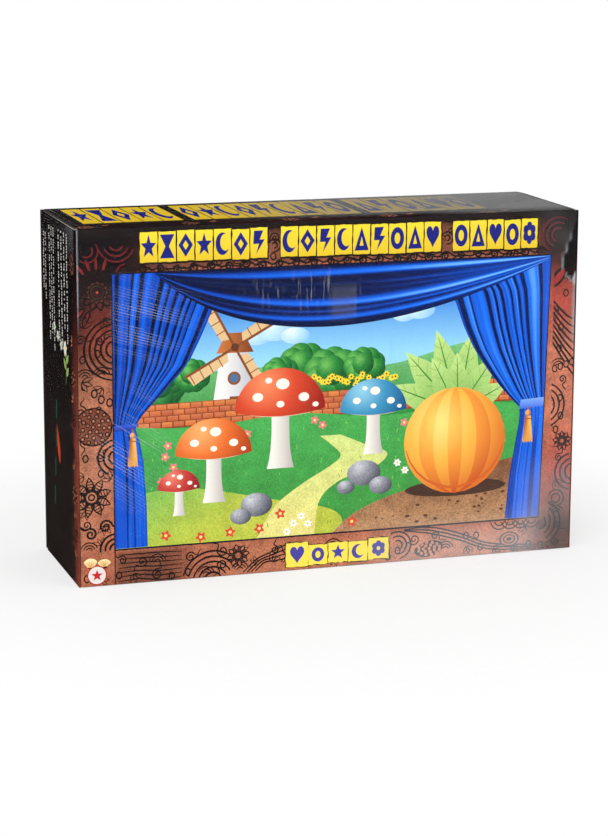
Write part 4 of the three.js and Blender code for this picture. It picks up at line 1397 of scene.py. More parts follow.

# %% [markdown]
# Offset print on coated board: the colour comes from the printed shapes, a fine speckle breaks up the
# border's ground, and the folds lose a little ink where they rub. The board's inside is grey fibre, darkened
# by painted shade near the carton's ends, where the gaps by the end flaps are. Its cut edges are dark with
# painted shade too.


# %% Print, raw board and cut edges
EDGE_SHADE = (38, 31, 30)


def printed(name, reach, shine, level):
    t = material(name)
    ink = t.node("ShaderNodeAttribute", attribute_name="Print").outputs
    grain = t.node("ShaderNodeGroup", {}, node_tree=GRAIN)
    for given, made in (("Color", "Color"), ("Grain", "Alpha")):
        t.nodes.links.new(ink[made], grain.inputs[given])
    worn = t.node("ShaderNodeGroup", {}, node_tree=WEAR)
    worn.inputs["Reach"].default_value = reach
    colour = t.mix(Wire(t, worn.outputs["Mask"]), Wire(t, grain.outputs["Color"]), paint((226, 220, 208)))
    return t.finish(Base_Color=colour, Roughness=Wire(t, grain.outputs["Roughness"]), Specular_IOR_Level=level,
                    Coat_Weight=shine, Coat_Roughness=0.09)


def raw_board():
    t = material("raw board")
    both = t.noise(420.0, 5.0, 0.8) * 0.7 + t.noise(30.0, 3.0) * 0.3
    tone = t.two_tone(both, (168, 156, 138), (226, 218, 204), 0.3, 0.7)
    lines = t.wave(100.0, 0.4, "X")
    # painted shade: faces that don't face the ends darken toward the carton's ends, standing for the shade in the gaps
    # by the end flaps
    inked = t.span(abs(t.split(t.at())[0]), 0.1868, 0.1885) * (abs(t.split(t.at("Normal"))[0]) < 0.5)
    return t.finish(Base_Color=t.mix(inked, tone, paint(EDGE_SHADE)), Roughness=0.86,
                    Normal=t.bump(both + lines * 0.25, 0.25, 0.0002))


def cut_edge():
    """Painted shade darkens the cut; the pale core shows as a thin broken line, brightened toward the upper front
    corners as a painted highlight.
    """
    t = material("cut board edge")
    x, y, z = t.split(t.at())

    def between(value, low, high):
        return t.span(value, low * MM, high * MM)

    deep = LENGTH / 2 * MM - abs(x)
    # where brightens the pale line toward the upper front corners: a painted highlight
    where = between(y, 62, -50) * between(z, 254, 257)
    broken = t.span(t.noise(300.0, 4.0, 0.7) + where * 0.4, 0.55, 0.8)
    mask = between(deep, 0.45, 0.6) * between(deep, 1.0, 0.85) * broken * (0.3 + where)
    return t.finish(Base_Color=t.two_tone(mask, EDGE_SHADE, (236, 230, 220), 0.0, 1.0), Roughness=0.8,
                    Specular_IOR_Level=0.1)


RAW, CUT = raw_board(), cut_edge()
PRINT, TOP_PRINT = printed("printed board", 0.0011, 0.02, 0.08), printed("printed top", 0.0011, 0.0, 0.0)
END_PRINT = printed("printed end", 0.0008, 0.0, 0.0)
print("board:", ", ".join(m.name for m in (PRINT, TOP_PRINT, END_PRINT, RAW, CUT)))

# %% [markdown]
# Now the six printed panels are made: four ride on the carton, and one on each end flap.

# %% The six printed panels
SPOTS = {"front": panel(True, 1), "back": panel(True, -1), "top": panel(False, 1), "bottom": panel(False, -1)}
for place, sheet, slot, ink in (("front", front, "print_front", PRINT), ("top", top, "print_dark", TOP_PRINT),
                                ("back", back, "print_back", PRINT), ("bottom", bottom, "print_dark", PRINT)):
    board("printed_" + place, sheet, SPOTS[place], "carton", slot, place + "_panel", ink, RAW, CUT)
for side, way, sheet in (("left", 1, left_print), ("right", -1, right_print)):
    spot = end_flap(way, FLAP_FOLD, FLAP_BEND)
    board("printed_" + side + "_end", sheet, spot, side + "_end", "print_dark", side + "_end_flap",
          END_PRINT, RAW, CUT)

# %% [markdown]
# Clear shrink film is drawn tight round the closed carton. Its colour is painted light: a pale painted
# reflection at the right, a dark painted reflection along the top, fine tension wrinkles by the curtains with
# painted highlights, and short painted highlights on the folds. On the real object it is one bag; here it is
# a thin skin on each panel and flap, so that an end can still swing open. The first cell says how much each
# place is veiled by painted reflection, how wrinkled it is, how light the painted reflection is, and how far
# the wrinkles turn.


# %% Where the film shows
def spread(a, b, at, wide):
    """A soft round patch that is 1 in its middle."""
    return np.exp(-(((a - at[0]) / wide[0]) ** 2) - ((b - at[1]) / wide[1]) ** 2)


def painted_reflection_front(p):
    a, b = p.T
    # Painted reflections on the film: a pale one at the lower right corner and along the foot's right half, a faint
    # grey one at the upper right, a dark one in the wedge by the right edge, and a grey patch in the middle (pane).
    # Painted highlights: the gleam by the right edge and a streak along the left fold.
    low_right_reflection = smooth(a, 322, 378) * smooth(b, 84, 4)
    pale = smooth(a, 190, 280) * smooth(a, 376, 335) * smooth(b, 40, 4)
    dark_reflection_wedge = smooth(a - np.maximum(380 - (256 - b) / 3, 367 + (217 - b) * 0.72), -0.9, 0.9)
    gleam = smooth(a, 374.8, 378) * smooth(b, 146, 176) * smooth(b, 214, 194)
    high_right_reflection = smooth(b, 222, 254) * smooth(a, 346, 372)
    veil = 0.001 + 0.4 * low_right_reflection + 0.15 * pale * (1 - low_right_reflection) + 0.012 * smooth(a, 330, 372)
    pane = smooth(a, 186, 189) * smooth(a, 208, 205) * smooth(b, 184, 190) * smooth(b, 214, 206)
    # fold: a painted highlight along the front's left fold, below the top
    fold = smooth(a, 2.8, 2.2) * smooth(b, 176, 222)
    veil = veil + 0.04 * high_right_reflection + 0.1 * pane
    for part in (0.6 * dark_reflection_wedge, 0.2 * fold, 0.3 * gleam):
        veil = np.maximum(veil, part)
    # tone: how light each painted reflection is
    tone = 0.8 - 0.66 * np.maximum(smooth(a, 335, 368) * smooth(b, 90, 10), high_right_reflection)
    for mask, least, level in ((pane, 0.02, 0.3), (dark_reflection_wedge, 0.02, 0.012), (gleam, 0.1, 0.6)):
        tone = np.where(mask > least, level, tone)
    corner = smooth(a, 20, 32) * spread(a, b, (48, 192), (24, 22)) + spread(a, b, (40, 102), (22, 34))
    middle = spread(a, b, (170, 207), (30, 10))
    return veil, np.clip(corner + middle, 0, 1), tone, middle > corner


def painted_reflection_top(p):
    a, b = p.T
    # A dark painted reflection over the top, strongest toward the right.
    veil = 0.01 + 0.3 * smooth(a, 90, 260) * smooth(b, 4, 36) + 0.16 * smooth(a, 250, 330)
    tone = 0.035 + 0.05 * smooth(a, 380, 200) * smooth(b, 50, 110)
    return veil, 0.3 * smooth(b, 60, 110) + 0.3 * smooth(a, 40, 10), tone, 0 * a


def painted_reflection_end(p):
    a, b = p.T
    # A faint painted reflection near the top of the end, toward the front fold.
    veil = 0.002 + 0.05 * smooth(b, 232, 254) * smooth(a, 70, 104)
    return veil, 0.3 * smooth(b, 215, 250), 0.5 + 0 * a, 0 * a


def painted_reflection_plain(p):
    # One soft patch of painted reflection and wrinkles on the back and the bottom.
    patch = spread(*p.T, (300, 60), (60, 50))
    return 0.01 + 0.1 * patch, 0.4 * patch, 0.6 + 0 * patch, 0 * patch


# the painted reflection's cover at the front's lower right corner
corner_reflection_cover = painted_reflection_front(np.array([[376.0, 6.0]]))[0]
print("the film's veil at the front's lower right corner:", corner_reflection_cover.round(2))


# %% [markdown]
# Real film is clear, and bright where a lamp mirrors in it. A skin that mirrored everything would hide the
# print, so this one is nearly transparent, and its cover grows only where the painted reflection or a fine
# wrinkle's painted highlight says so. Wrinkles are waves and stretched noise in the material, turned the way
# the film is drawn.


# %% Film material
def film():
    """A faint whitish skin of painted light: its cover comes from the painted reflection and from procedural wrinkles
    with painted highlights.
    """
    t = material("shrink film")
    mark = t.node("ShaderNodeAttribute", attribute_name="Film").outputs
    part = t.node("ShaderNodeSeparateColor", {0: Wire(t, mark["Color"])}).outputs
    cover, crease, tone = (Wire(t, socket) for socket in part[:3])
    at = t.at()

    def streaks(turn, stretch, scale, low, high):
        wires = {"Vector": at, "Rotation": (0.0, -turn, 0.0), "Scale": stretch}
        turned = t.get("ShaderNodeMapping", wires, vector_type="TEXTURE")
        return t.span(t.noise(scale, 3.0, 0.6, turned), low, high)

    def lines_at(turn, spacing):
        turned = t.get("ShaderNodeMapping", {"Vector": at, "Rotation": (0.0, turn, 0.0)}, vector_type="POINT")
        thin = t.span(t.wave(tau / 20 / spacing, 0.25, "Z", 0.0, 0.1, turned), 0.6, 0.95)
        return thin * streaks(turn, (16.0, 1.0, 1.0), 200.0, 0.44, 0.56)

    slanted, crossing = lines_at(radians(-17), 0.0019), lines_at(radians(-34), 0.0021)
    upright = streaks(0.0, (1.0, 1.0, 12.0), 420.0, 0.57, 0.66)
    wide = streaks(radians(-18), (3.0, 1.0, 1.0), 40.0, 0.3, 0.75)
    lines = t.blend(t.span(t.split(at)[2], 0.165, 0.13), slanted, crossing)
    fine = t.blend(Wire(t, mark["Alpha"]), lines, upright) * crease * 0.2
    # cover is how far the painted reflection veils the print, and tone is how light it is
    veil = cover * (0.72 + wide * 0.42)
    # the colour is painted light: the painted reflection's tone, or the wrinkles' painted highlights where brighter;
    # slanted * 0.006 adds a faint painted glint to the cover
    light = t.math("MAXIMUM", tone, fine * 2.2, True)
    tint = t.get("ShaderNodeCombineColor", {0: light * 0.92, 1: light * 0.96, 2: light})
    return t.finish(Base_Color=tint, Roughness=0.18, Alpha=t.math("ADD", veil + fine, slanted * 0.006, True),
                    Normal=t.bump(lines, 0.3, 0.0003), Specular_IOR_Level=0.08)


FILM = film()
print("film material:", FILM.name)


# %% [markdown]
# The skins lie on the same bends as the prints, from the outer face inward, and end beside the hinges.


# %% Shrink film
def film_mesh(name, low, high, spot, veil, body, pitch=4.0, fine=()):
    n = np.maximum(8, np.round(np.subtract(high, low) / pitch)).astype(int)
    u, v = (np.linspace(low[k], high[k], n[k] + 1) for k in (0, 1))
    near = (BOARD - FILM_ROOM) * EIGHTH * np.array((0.33, 0.66, 1))
    u, v = np.unique(np.append(u, fine)), np.unique(np.concatenate([v, low[1] + near, high[1] - near]))
    net = np.stack(np.meshgrid(u, v, indexing="ij"), 2).reshape(-1, 2)
    points, faces = closed_sheet(spot(net, 0.0), spot(net, FILM_THICK), len(u), len(v))
    obj = smoothed(new_object(name, points, faces, body, FILM))
    mark = obj.data.color_attributes.new("Film", "FLOAT_COLOR", "POINT")
    mark.data.foreach_set("color", np.tile(np.stack(veil(net), 1), (2, 1)).ravel())
    print(name, len(faces), "faces")


START = BOARD * (1 - EIGHTH)  # the film begins half-way round the fold
END_FILM = (5.2, 0.6), (DEPTH + 0.8, 257.4)  # from behind the tongue's fold to a little way round the bead
END_BEND = 0.75  # the film turns a little wider round the bead than the print
FINE = (1.9, 2.2, 2.5, 3.0, 375.6, 376.2, 376.8, 377.5, 378.1)  # extra columns beside the front's ends
for place, lip, width, veil, pitch, fine in (("front", LIP, HEIGHT, painted_reflection_front, 3.0, FINE),
                                             ("back", 0.4, HEIGHT, painted_reflection_plain, 6.0, ()),
                                             ("top", TOP_LIP, DEPTH, painted_reflection_top, 4.0, ()),
                                             ("bottom", TOP_LIP, DEPTH, painted_reflection_plain, 6.0, ())):
    film_mesh("film_" + place, (lip, START), (LENGTH - lip, width - START), SPOTS[place], veil, "carton", pitch, fine)
for side, way, pitch in (("left", 1, 4.0), ("right", -1, 6.0)):
    film_mesh("film_" + side + "_end", *END_FILM, end_flap(way, END_BEND, END_BEND), painted_reflection_end, side + "_end", pitch)

# %% [markdown]
# Behind each end flap, its tongue and two dust flaps are folded in. Their outer face is the dark print's
# ground and the rest is raw board, so the finish looks at which way a face points on the closed carton.


# %% Tongues and dust flaps
def flap_finish(name, direction):
    t = material(name)
    outer = t.dot(t.at("Normal"), direction)
    facing = (outer > -0.3) * (abs(outer) > 0.02)
    both = t.noise(420.0, 5.0) * 0.6 + t.noise(26.0, 4.0) * 0.4
    raw, ink = t.two_tone(both, (160, 148, 130), (222, 214, 198)), t.two_tone(both, (14, 11, 11), (32, 26, 25))
    return t.finish(Base_Color=t.mix(facing, raw, ink), Roughness=0.88 - facing * 0.25,
                    Normal=t.bump(both, 0.2, 0.0002), Specular_IOR_Level=0.1)


def dress(mat, *names):
    for name in names:
        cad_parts[name].data.materials[0] = mat
    print(mat.name, "on", ", ".join(names))


for side, way in (("left", -0.7), ("right", 0.7)):
    for edge, up in (("top", 0.7), ("bottom", -0.7)):
        dress(flap_finish(side + " " + edge + " dust flap board", (way, 0.0, up)), side + "_" + edge + "_dust_flap")
    dress(flap_finish(side + " tongue board", (way, 0.7, 0.0)), side + "_tuck_tongue")
dress(RAW, "glue_flap")

# %% [markdown]
# The slotted insert is brown corrugated board. Its flutes show as faint lines on the liner, and as a wave
# between two liners on every cut edge; both follow from place alone.


# %% Corrugated insert
def corrugated():
    t = material("brown corrugated board")
    fibre, cloud = t.noise(380.0, 6.0, 0.8), t.noise(18.0, 3.0)
    flute, wave = t.wave(72.0, 0.6, "Y", 1.0), t.wave(90.0, 1.2, "DIAGONAL")
    cut = abs(t.dot(t.at("Normal"), (0.0, 1.0, 0.0))) > 0.6
    both = fibre * 0.55 + cloud * 0.3 + flute * 0.1 - cut * wave * 0.35
    return t.finish(Base_Color=t.two_tone(both, (104, 74, 48), (196, 160, 118), 0.22, 0.66), Roughness=0.9,
                    Normal=t.bump(flute + fibre, 0.35, 0.0004))


dress(corrugated(), "insert_shelf", "insert_divider_left", "insert_divider_middle", "insert_divider_right")

# %% [markdown]
# The folded stage screen is printed board: a blue cloth pattern in folds, and a brown timber pattern on
# the wings. Woven tape joins them.


# %% Stage screen
def screen(name, dark, light, direction, scale):
    t = material(name)
    wave = t.wave(scale, 5.0, direction, 2.0, 1.4)
    fine = t.noise(620.0, 3.0)
    return t.finish(Base_Color=t.two_tone(wave * 0.8 + fine * 0.2, dark, light, 0.1, 0.9), Specular_IOR_Level=0.3,
                    Roughness=0.4 + fine * 0.2)


FIGURES = {"dots": ("ShaderNodeTexVoronoi", 150.0, 0), "checks": ("ShaderNodeTexChecker", 110.0, 1),
           "stripes": ("ShaderNodeTexWave", 42.0, 1)}


def woven(name, dark, light, scale, figure=None, rgb=None):
    t = material(name)
    warp, weft = (t.wave(scale, 0.3, way) for way in "XZ")
    weave = (warp + weft) * 0.5
    colour = t.two_tone(weave * 0.5 + t.noise(60.0, 4.0) * 0.5, dark, light, 0.25, 0.75)
    if figure:
        kind, size, socket = FIGURES[figure]
        mark = t.get(kind, {"Vector": t.at(), "Scale": size}, socket)
        colour = t.mix((mark < 0.32 if figure == "dots" else mark > 0.5) * 0.85, colour, paint(rgb))
    return t.finish(Base_Color=colour, Roughness=0.92, Sheen_Weight=0.2, Normal=t.bump(weave, 0.4, 0.0003))


dress(screen("blue stage print", (14, 34, 120), (60, 120, 236), "X", 14.0), "stage_screen_centre")
dress(screen("brown stage print", (84, 48, 28), (176, 116, 70), "Z", 9.0),
      "stage_screen_left_wing", "stage_screen_right_wing")
TAPE = woven("woven hinge tape", (44, 40, 38), (96, 90, 84), 900.0)


def tape(side):
    """A woven strip round the folded edge, a little slack between its glued sides."""
    lo, hi = (np.array(p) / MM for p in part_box("stage_screen_" + side + "_tape"))
    zz, yy = np.meshgrid(np.linspace(lo[2], hi[2], 81), np.linspace(lo[1], hi[1], 7), indexing="ij")
    wave = 0.05 * np.sin(0.4 * zz + yy) + 0.05 * np.sin(0.17 * zz)
    near, far = (lo[0], hi[0]) if side == "right" else (hi[0], lo[0])
    depths = (far + (near - far) * (0.2 + wave), near + 0 * wave)
    out, under = (np.stack([x, yy, zz], 2).reshape(-1, 3) for x in depths)
    made = new_object("woven_tape_" + side, *closed_sheet(out, under, 81, 7), "carton", TAPE)
    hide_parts("stage_screen_" + side + "_tape")
    print(made.name, len(made.data.polygons), "faces")


tape("left")
tape("right")

# %% [markdown]
# The six glove puppets are the soft part of the contents. A puppet's garment is a sewn cotton cup, open
# below for the hand, with two short sleeves; it hangs in gathers that fade toward the collar. Turning a
# profile about an axis and letting its radius wave gives that shape and keeps the cloth closed, with an
# outer and an inner face, where a cloth simulation would need the hand that isn't there.


# %% Turned soft shapes
def turned(rows, around, wave=None, flatten=1.0, seat=(0, 0, 0), ez=(0, 0, 1), ex=(1, 0, 0)):
    """Rows of (radius, height, fold strength) from pole to pole, turned about an axis."""
    a = np.linspace(0, tau, around, endpoint=False)
    circles = []
    for r, z, f in rows[1:-1]:
        k = r * (1 + (f * wave(a) if wave else 0 * a))
        circles.append(np.stack([k * np.cos(a), k * np.sin(a) * flatten, 0 * a + z], 1))
    points = np.vstack([[(0, 0, rows[0][1])], *circles, [(0, 0, rows[-1][1])]])
    points = np.array(seat, float) + points @ np.array([ex, np.cross(ez, ex), ez], float)
    here = np.arange(around)
    ahead, last = np.roll(here, -1), len(points) - 1
    faces = np.stack([0 * here, 1 + ahead, 1 + here], 1).tolist()
    for low in range(1, last - around, around):
        faces += np.stack([low + here, low + ahead, low + around + ahead, low + around + here], 1).tolist()
    low = last - around
    return points, faces + np.stack([low + here, low + ahead, 0 * here + last], 1).tolist()


def soft(name, shapes, mat, *nodes):
    """Joins closed shapes to one smooth piece."""
    points, faces, count = [], [], 0
    for place, around in shapes:
        faces += [[k + count for k in face] for face in around]
        points.append(place)
        count += len(place)
    obj = smoothed(new_object(name, np.vstack(points), faces, "carton", mat))
    if nodes:
        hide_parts(*nodes)
    print(name, len(faces), "faces")
    return obj


def gathers(count, seed):
    def wave(a):
        return 0.6 * np.cos(count * a + seed) + 0.28 * np.cos((count + 5) * a + 2 * seed) + 0.22 * np.cos(5 * a + seed)

    return wave


def size_of(name):
    """The two corners of a CAD solid's box, and the middle of its foot."""
    lo, hi = (np.array(p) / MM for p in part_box(name))
    return lo, hi, ((lo + hi) / 2)[:2]


print("a turned ball of 6 rows has", len(turned([(sin(k), cos(k), 0) for k in range(6)], 12)[1]), "faces")

# %% [markdown]
# Each garment is fitted into its CAD solid. Its profile runs down the inside of the cloth, round the hem
# and up the outside. The sleeves slant down and out, and a mitt sits in each of them.

# %% Garments
CUP_HEIGHT = 60.3  # the height that the profiles below are drawn for
HEM = ((1.0, 0.3), (1.014, 1.0), (1.016, 4.6), (1.0, 5.2), (0.988, 5.8))
CUP = ((0.96, 9), (0.92, 14), (0.87, 19), (0.81, 25), (0.745, 31), (0.68, 37), (0.62, 43), (0.575, 48), (0.55, 52),
       (0.5, 55.5), (0.4, 58.6), (0.3, 59.9), (0.15, 60.1))
SLEEVE = ((0, 0, 0), (4.2, 0.6, 0), (5.3, 3, 0.02), (5.6, 8, 0.05), (6.1, 13, 0.06), (6.7, 17.6, 0.05),
          (6.9, 18.4, 0.03), (6.95, 20.4, 0.02), (6.3, 20.8, 0.02), (5.4, 20.4, 0.01), (5.0, 18, 0), (0, 17, 0))
MITT = ((0, 15.5, 0), (4.0, 16, 0), (4.6, 19, 0), (4.7, 21.4, 0), (5.5, 24, 0), (5.9, 26.6, 0), (5.5, 29, 0),
        (4.0, 30.9, 0), (2.0, 31.7, 0), (0, 31.9, 0))
FLATTEN = 0.8  # a garment is this much thinner from front to back than it is wide


def garment(who, seed, cloth, mitts):
    """The cloth and the two mitts; gives back the line of the hem's stitches."""
    lo, hi, middle = size_of(who + "_garment")
    high, r = hi[2] - lo[2], (hi[1] - lo[1]) / 2 / 0.843 * 0.985  # so the widest gather just fits the CAD solid
    outer = [(r * k, z * high / CUP_HEIGHT, 0.09 * (1 - z / CUP_HEIGHT) + 0.01) for k, z in HEM + CUP]
    inner = [(max(a - 0.9, 1), max(b - 0.5, 0.5), f) for a, b, f in outer[::-1]]
    profile = [(0, inner[0][1], 0)] + inner + outer + [(0, high, 0)]
    cup = turned(profile, 108, gathers(9, seed), FLATTEN, (*middle, lo[2]))
    shoulder = lo[2] + 0.72 * high
    arms = [dict(seat=(middle[0] + side * 9.4, middle[1], shoulder), ez=(side * 0.883, 0, -0.469), ex=(0, 1, 0))
            for side in (-1, 1)]
    sleeves = [turned(SLEEVE, 30, gathers(6, seed + 1), **arm) for arm in arms]
    made = soft(who + "_garment_cloth", [cup] + sleeves, cloth, who + "_garment")
    soft(who + "_mitts", [turned(MITT, 24, **arm) for arm in arms], mitts)
    a = np.linspace(0, tau, 160, endpoint=False)
    k = (r * HEM[2][0] + 0.12) * (1 + 0.094 * gathers(9, seed)(a))  # the thread lies on the hem
    return np.stack([middle[0] + k * np.cos(a), middle[1] + k * np.sin(a) * FLATTEN, 0 * a + lo[2] + 3.9], 1)


print("a garment's profile has", len(HEM + CUP), "rows")

# %% [markdown]
# Stitches and yarn follow lines, so Geometry Nodes make them. One tree sets a small bead of thread at
# even steps along a seam line and turns it with the line. The other gives every line a round yarn. Both
# end as plain meshes, because the model that leaves Blender keeps no instances.


# %% Trees for stitches and yarn
def line_tree(name, given):
    """Starts a tree that turns a mesh's edges to curves, and gives the tree, its inputs and the curve."""
    g = bpy.data.node_groups.new(name, "GeometryNodeTree")
    for label, kind in {"Geometry": "Geometry", **given}.items():
        g.interface.new_socket(label, in_out="INPUT", socket_type="NodeSocket" + kind)
    g.interface.new_socket("Geometry", in_out="OUTPUT", socket_type="NodeSocketGeometry")
    t = Tree(g)
    source = t.node("NodeGroupInput").outputs
    wires = {label: Wire(t, source[label]) for label in ("Geometry", *given)}
    return t, wires, t.get("GeometryNodeMeshToCurve", {0: wires["Geometry"]})


def close_tree(t, wires, shape):
    whole = t.get("GeometryNodeRealizeInstances", {0: shape})
    painted = t.get("GeometryNodeSetMaterial", {"Geometry": whole, "Material": wires["Material"]})
    t.node("NodeGroupOutput", {0: painted})
    return t.nodes


def stitch_tree():
    given = {"Spacing": "Float", "Thread radius": "Float", "Stretch": "Float", "Material": "Material"}
    t, wires, curve = line_tree("Stitches", given)
    steps = t.get("GeometryNodeResampleCurve", {"Curve": curve, "Length": wires["Spacing"]}, mode="LENGTH")
    bead = t.get("GeometryNodeMeshUVSphere", {"Segments": 6, "Rings": 4, "Radius": wires["Thread radius"]})
    along = t.get("FunctionNodeAlignRotationToVector", {"Vector": t.get("GeometryNodeInputTangent")}, axis="Z")
    longer = t.get("ShaderNodeCombineXYZ", {0: 1.0, 1: 1.0, 2: wires["Stretch"]})
    set_on = {"Points": steps, "Instance": bead, "Rotation": along, "Scale": longer}
    return close_tree(t, wires, t.get("GeometryNodeInstanceOnPoints", set_on))


def yarn_tree():
    t, wires, curve = line_tree("Yarn", {"Yarn radius": "Float", "Material": "Material"})
    ring = t.get("GeometryNodeCurvePrimitiveCircle", {"Resolution": 7, "Radius": wires["Yarn radius"]})
    yarn = t.get("GeometryNodeCurveToMesh", {"Curve": curve, "Profile Curve": ring, "Fill Caps": True})
    return close_tree(t, wires, yarn)


def grown(name, lines, closed, tree, **values):
    """Runs a tree on guide lines and keeps the result as a plain mesh."""
    points, edges = [], []
    for line in lines:
        n = len(line)
        edges += [(len(points) + i, len(points) + (i + 1) % n) for i in range(n if closed else n - 1)]
        points += (np.array(line) * MM).tolist()
    guide = bpy.data.meshes.new(name)
    guide.from_pydata(points, edges, [])
    obj = linked(name, guide)
    grow = obj.modifiers.new("grow", "NODES")
    grow.node_group = tree
    for item in tree.interface.items_tree:
        key = item.name.replace(" ", "_").lower()
        if item.in_out == "INPUT" and key in values:
            grow[item.identifier] = values[key]
    mesh = bpy.data.meshes.new_from_object(obj.evaluated_get(bpy.context.evaluated_depsgraph_get()))
    obj.modifiers.remove(grow)
    obj.data = mesh
    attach(smoothed(obj), "carton")
    print(name, len(mesh.polygons), "faces")


STITCH, YARN = stitch_tree(), yarn_tree()
print("trees:", STITCH.name, "and", YARN.name)

# %% [markdown]
# The people's heads are moulded vinyl with yarn hair, without painted faces. The animals' heads, the mitts
# and the root vegetable are stuffed plush. A head is a ball on a neck, pushed out or in toward a few
# directions, which rounds a nose, cheeks and a chin into one skin.


# %% Heads
NECK = 9.2
EAR = ((0, -2.2, 0), (4, -2.1, 0), (6.6, -1.4, 0), (7.4, -0.3, 0),
       (7.3, 0.7, 0), (6.2, 1.2, 0), (4, 0.3, 0), (0, -0.2, 0))
# each feature: the direction of its middle, how wide it is as an angle, and how far it stands out
FACE = [((0, -1, 0), 0.17, 4.6), ((0, -0.8, -0.75), 0.3, 1.0), ((0, -0.95, -0.42), 0.12, -0.7)]
MUZZLE = [((0, -1, -0.2), 0.36, 4.0)]
for x in (-1, 1):
    FACE += [((0.36 * x, -0.9, 0.2), 0.22, -0.9), ((0.45 * x, -0.8, -0.3), 0.4, 0.8), ((x, 0.05, -0.05), 0.15, 1.5)]
    MUZZLE += [((0.34 * x, -0.88, 0.24), 0.2, -1.1), ((0.6 * x, -0.6, -0.4), 0.35, 0.4)]


def head_shape(name, r, high, features):
    foot, (_, _, middle) = size_of(name + "_head")[0][2], size_of(name + "_garment")
    rows = [(0, 0, 0), (NECK * 0.94, 0, 0), (NECK, 0.8, 0), (NECK, 2.6, 0)]
    rows += [(r * sin(t), high - r * cos(t), 0) for t in np.linspace(asin(NECK / r) + 0.04, pi - 0.05, 40)]
    points, faces = turned(rows + [(0, high + r, 0)], 64)
    out = points - (0, 0, high)
    unit = out / np.linalg.norm(out, axis=1)[:, None]
    for toward, wide, tall in features:
        d = np.array(toward) / np.linalg.norm(toward)
        points = points + unit * (tall * np.exp(-(np.arccos(np.clip(unit @ d, -1, 1)) / wide) ** 2))[:, None]
    seat = np.array((*middle, foot))
    return (points + seat, faces), seat + (0, 0, high)


def hair_lines(centre, count, front, back, drop):
    """Strands from the crown down to the hairline, which is high at the face and low behind it."""
    for i in range(count):
        a = tau * i / count
        end = front + (back - front) * (0.5 + 0.5 * sin(a)) ** 0.6 + dice.uniform(-4, 4)
        t = np.radians(np.linspace(5, end, 16))
        b = a + 0.05 * np.sin(6 * t + 3 * i) + drop * t
        yield centre + 22.95 * np.stack([np.sin(t) * np.cos(b), np.sin(t) * np.sin(b), np.cos(t)], 1)


def darker(rgb, share):
    return tuple(int(v * share) for v in rgb)


def vinyl(name, skin):
    t = material(name)
    pore = t.noise(900.0, 3.0)
    tone = t.two_tone(t.noise(46.0), darker(skin, 0.86), skin, 0.3, 0.6)
    return t.finish(Base_Color=tone, Normal=t.bump(pore, 0.12, 0.0002), Subsurface_Weight=0.05,
                    Roughness=0.36 + pore * 0.16)


def plush(name, dark, light, spread=420.0, scale=620.0, deep=0.0012):
    t = material(name)
    tuft = t.get("ShaderNodeTexVoronoi", {"Vector": t.at(), "Scale": spread})
    both = t.noise(scale, 5.0, 0.75) * 0.6 + tuft * 0.4
    return t.finish(Base_Color=t.two_tone(both, dark, light, 0.24, 0.66), Roughness=0.95, Sheen_Weight=0.5,
                    Normal=t.bump(both, 0.8, deep))


print("a face has", len(FACE), "features and a muzzle", len(MUZZLE))

# %% [markdown]
# Three people stand in the lower row and three animals in the upper one. The people's hair is a crown of
# yarns, and every hem gets its row of stitches in one piece.

# %% Six puppets
THREAD = plush("pale sewing thread", (176, 164, 140), (236, 228, 206), 900.0, 1400.0, 0.0002)
hems = []
# each person: the cloth's dark, light and figure, then the skin and the hair, and last the hairline: its
# angle from the crown at the face and behind, and its swirl
people = (("first", (130, 24, 26), (206, 52, 44), ("dots", (244, 226, 190)),
           (238, 190, 158), (122, 78, 44), (58, 118, 0.0)),
          ("second", (26, 60, 130), (64, 116, 204), ("checks", (120, 160, 226)),
           (232, 184, 152), (206, 200, 192), (66, 104, 0.3)),
          ("third", (170, 84, 26), (238, 142, 52), ("stripes", (250, 214, 120)),
           (226, 172, 140), (86, 54, 36), (50, 126, -0.25)))
for k, (place, dark, light, figure, skin, hair, cut) in enumerate(people):
    who, words = place + "_person", place + " person"
    flesh = vinyl(words + " vinyl", skin)
    hems.append(garment(who, 0.7 + k, woven(words + " cotton", dark, light, 560.0, *figure), flesh))
    shape, centre = head_shape(who, 22.4, 27.3, FACE)
    soft(who + "_vinyl_head", [shape], flesh, who + "_head")
    grown(who + "_hair", hair_lines(centre, 76, *cut), False, YARN, yarn_radius=1.15 * MM,
          material=plush(words + " yarn", darker(hair, 0.5), hair, 400.0, 900.0, 0.0004))

# each animal: the cloth's dark and light, the plush's dark and light, and how far its ears lean out
animals = (("first", (132, 96, 58), (206, 168, 118), (130, 92, 54), (222, 184, 132), 48),
           ("second", (92, 92, 98), (168, 168, 174), (96, 96, 102), (188, 188, 194), 34),
           ("third", (58, 64, 78), (112, 120, 138), (56, 62, 76), (126, 134, 152), 60))
for k, (place, dark, light, deep, pale, lean) in enumerate(animals):
    who, words, lean = place + "_animal", place + " animal", radians(lean)
    fur = plush(words + " plush", deep, pale)
    hems.append(garment(who, 2.1 + k, woven(words + " cotton", dark, light, 560.0), fur))
    shape, centre = head_shape(who, 23.5, 27.2, MUZZLE)
    seats = (centre + 26.0 * np.array((x * sin(lean), 0, cos(lean))) for x in (-1, 1))
    ears = [turned(EAR, 30, seat=seat, ez=(0, -1, 0)) for seat in seats]
    soft(who + "_plush_head", [shape] + ears, fur, who + "_head")
grown("hem_stitches", hems, True, STITCH, spacing=3.1 * MM, thread_radius=0.3 * MM, stretch=3.2, material=THREAD)

# %% [markdown]
# The root vegetable is stuffed plush sewn from seven gores, so that its skin is drawn in along seven
# seams. Its three leaves are quilted felt, drawn in along the midrib and a little along the side veins.


